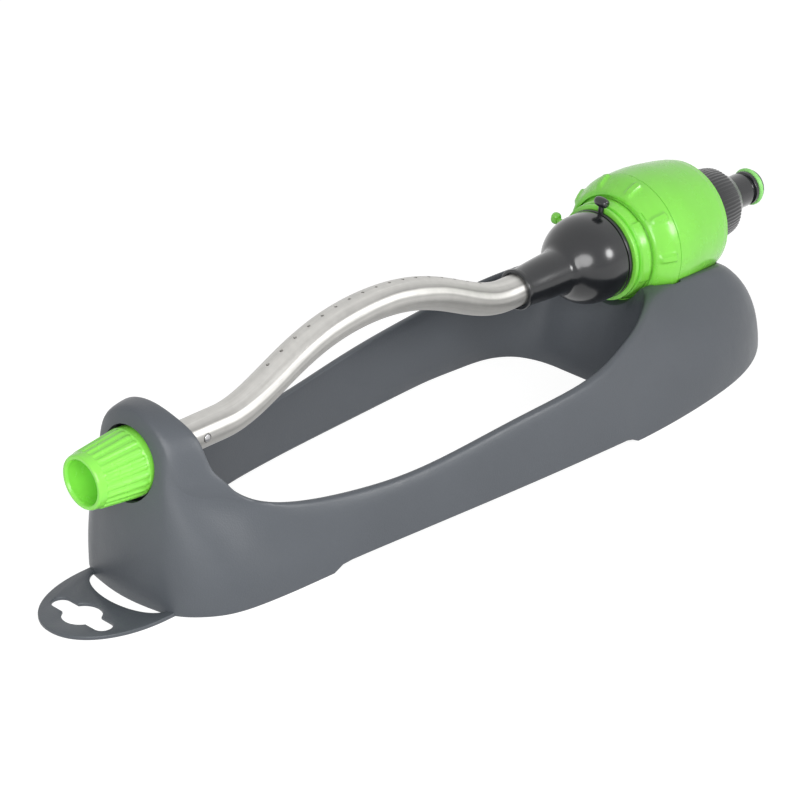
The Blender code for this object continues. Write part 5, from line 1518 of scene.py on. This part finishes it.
def build_stage():
    """Lays the floor and sets the world, the lights and the camera."""
    scene = bpy.context.scene
    studio = scene.sprinkler_studio
    bm = bmesh.new()
    bmesh.ops.create_grid(bm, x_segments=1, y_segments=1, size=6.0)
    mesh = bpy.data.meshes.new("floor")
    bm.to_mesh(mesh)
    bm.free()
    mesh.materials.append(white_floor(tuple(studio.floor)))
    linked("floor", mesh)

    world = bpy.data.worlds.new("studio")
    scene.world = world
    world.use_nodes = True
    tree = world.node_tree
    tree.nodes.clear()
    soft = node(tree, "ShaderNodeBackground", {"Color": (1, 1, 1, 1), "Strength": studio.world}).outputs[0]
    white = node(tree, "ShaderNodeBackground", {"Color": (1, 1, 1, 1), "Strength": 1.0}).outputs[0]
    mixed = node(tree, "ShaderNodeMixShader", (seen_directly(tree), soft, white)).outputs[0]
    node(tree, "ShaderNodeOutputWorld", {"Surface": mixed})

    ball = Vector((DATUM_X + DOME_X, 0, AXIS_Z)) * MM
    key_distance = 1.1
    key = ball + Vector((0.31, -0.87, 0.38)).normalized() * key_distance
    area_light("key", key, ball, (0.36, 0.36), studio.key, glint=True)
    area_light("front", (-0.60, -0.52, 0.36), (-0.15, 0, 0.03), (0.7, 0.5), studio.front, glint=True)
    area_light("top", (0.0, 0.1, 1.6), (0, 0, 0), (2.4, 2.0), studio.top)
    area_light("back", (0.6, 1.1, 0.8), (0, 0, 0.05), (0.8, 0.6), studio.back)

    yaw, pitch, roll = math.radians(46.0), math.radians(-27.1), math.radians(-0.98)
    ahead = Vector((math.cos(yaw) * math.cos(pitch), math.sin(yaw) * math.cos(pitch), math.sin(pitch)))
    camera = bpy.data.cameras.new("camera")
    camera.lens, camera.sensor_width = 144.0, 36.0
    camera.clip_start, camera.clip_end = 0.1, 30.0
    obj = linked("camera", camera)
    camera_x, camera_y, camera_z = -1058.2, -930.0, 694.9
    obj.location = Vector((camera_x + DATUM_X, camera_y, camera_z)) * MM
    obj.rotation_mode = "QUATERNION"
    obj.rotation_quaternion = ahead.to_track_quat("-Z", "Y") @ Matrix.Rotation(roll, 3, "Z").to_quaternion()
    scene.camera = obj
    scene.view_settings.view_transform = "Standard"


# The add-on


class SPRINKLER_OT_base(bpy.types.Operator):
    """Moulds the ring base with its post, cradle and hanging tab"""

    bl_idname = "sprinkler.base"
    bl_label = "Ring base"

    def execute(self, context):
        build_base()
        return {"FINISHED"}


class SPRINKLER_OT_tube(bpy.types.Operator):
    """Bends and drills the spray tube and sets its cross pin"""

    bl_idname = "sprinkler.tube"
    bl_label = "Spray tube"

    def execute(self, context):
        build_tube()
        return {"FINISHED"}


class SPRINKLER_OT_front_end(bpy.types.Operator):
    """Turns the ribbed end cap and the post's bush"""

    bl_idname = "sprinkler.front_end"
    bl_label = "Front end"

    def execute(self, context):
        build_front_end()
        return {"FINISHED"}


class SPRINKLER_OT_dome(bpy.types.Operator):
    """Turns the black dome coupling"""

    bl_idname = "sprinkler.dome"
    bl_label = "Dome"

    def execute(self, context):
        build_dome()
        return {"FINISHED"}


class SPRINKLER_OT_limit_rings(bpy.types.Operator):
    """Turns the two limit rings and joins their tabs"""

    bl_idname = "sprinkler.limit_rings"
    bl_label = "Limit rings"

    def execute(self, context):
        build_limit_rings()
        return {"FINISHED"}


class SPRINKLER_OT_collar(bpy.types.Operator):
    """Turns the flow collar with its raised grips"""

    bl_idname = "sprinkler.collar"
    bl_label = "Flow collar"

    def execute(self, context):
        build_collar()
        return {"FINISHED"}


class SPRINKLER_OT_barrel(bpy.types.Operator):
    """Turns the motor barrel with its screw bosses"""

    bl_idname = "sprinkler.barrel"
    bl_label = "Motor barrel"

    def execute(self, context):
        build_barrel()
        return {"FINISHED"}


class SPRINKLER_OT_union(bpy.types.Operator):
    """Turns the union nut, the hose nipple and its seal"""

    bl_idname = "sprinkler.union"
    bl_label = "Hose union"

    def execute(self, context):
        build_union()
        return {"FINISHED"}


class SPRINKLER_OT_screws(bpy.types.Operator):
    """Drives the two screws under the cradle"""

    bl_idname = "sprinkler.screws"
    bl_label = "Cradle screws"

    def execute(self, context):
        build_screws()
        return {"FINISHED"}


class SPRINKLER_OT_inner(bpy.types.Operator):
    """Gives the pieces inside the motor their finishes"""

    bl_idname = "sprinkler.inner"
    bl_label = "Inner pieces"

    def execute(self, context):
        paint_inner()
        return {"FINISHED"}


class SPRINKLER_OT_stage(bpy.types.Operator):
    """Sets up the floor, the lights and the camera"""

    bl_idname = "sprinkler.stage"
    bl_label = "Studio"

    def execute(self, context):
        build_stage()
        return {"FINISHED"}


OPERATORS = (
    SPRINKLER_OT_base,
    SPRINKLER_OT_tube,
    SPRINKLER_OT_front_end,
    SPRINKLER_OT_dome,
    SPRINKLER_OT_limit_rings,
    SPRINKLER_OT_collar,
    SPRINKLER_OT_barrel,
    SPRINKLER_OT_union,
    SPRINKLER_OT_screws,
    SPRINKLER_OT_inner,
    SPRINKLER_OT_stage,
)


class SPRINKLER_PT_panel(bpy.types.Panel):
    """Lists the sprinkler's steps and sizes"""

    bl_label = "Oscillating Sprinkler"
    bl_idname = "SPRINKLER_PT_panel"
    bl_space_type = "VIEW_3D"
    bl_region_type = "UI"
    bl_category = "Sprinkler"

    def draw(self, context):
        for operator in OPERATORS:
            self.layout.operator(operator.bl_idname)
        for key, group in GROUPS.items():
            box = self.layout.box()
            box.label(text=key.split("_")[1].title())
            for name in group.__annotations__:
                box.prop(getattr(context.scene, key), name)


CLASSES = (*GROUPS.values(), *OPERATORS, SPRINKLER_PT_panel)


def register():
    """Registers the classes and gives the scene its settings."""
    for cls in CLASSES:
        bpy.utils.register_class(cls)
    for key, group in GROUPS.items():
        setattr(bpy.types.Scene, key, PointerProperty(type=group))


def unregister():
    """Takes the settings and the classes away again."""
    for key in GROUPS:
        delattr(bpy.types.Scene, key)
    for cls in reversed(CLASSES):
        bpy.utils.unregister_class(cls)


def main():
    """Runs every step on an empty scene."""
    register()
    for obj in list(bpy.data.objects):
        if obj.name in ("Cube", "Light", "Camera"):
            bpy.data.objects.remove(obj)
    for operator in OPERATORS:
        name = operator.bl_idname.split(".")[1]
        getattr(bpy.ops.sprinkler, name)()


if __name__ == "__main__":
    main()
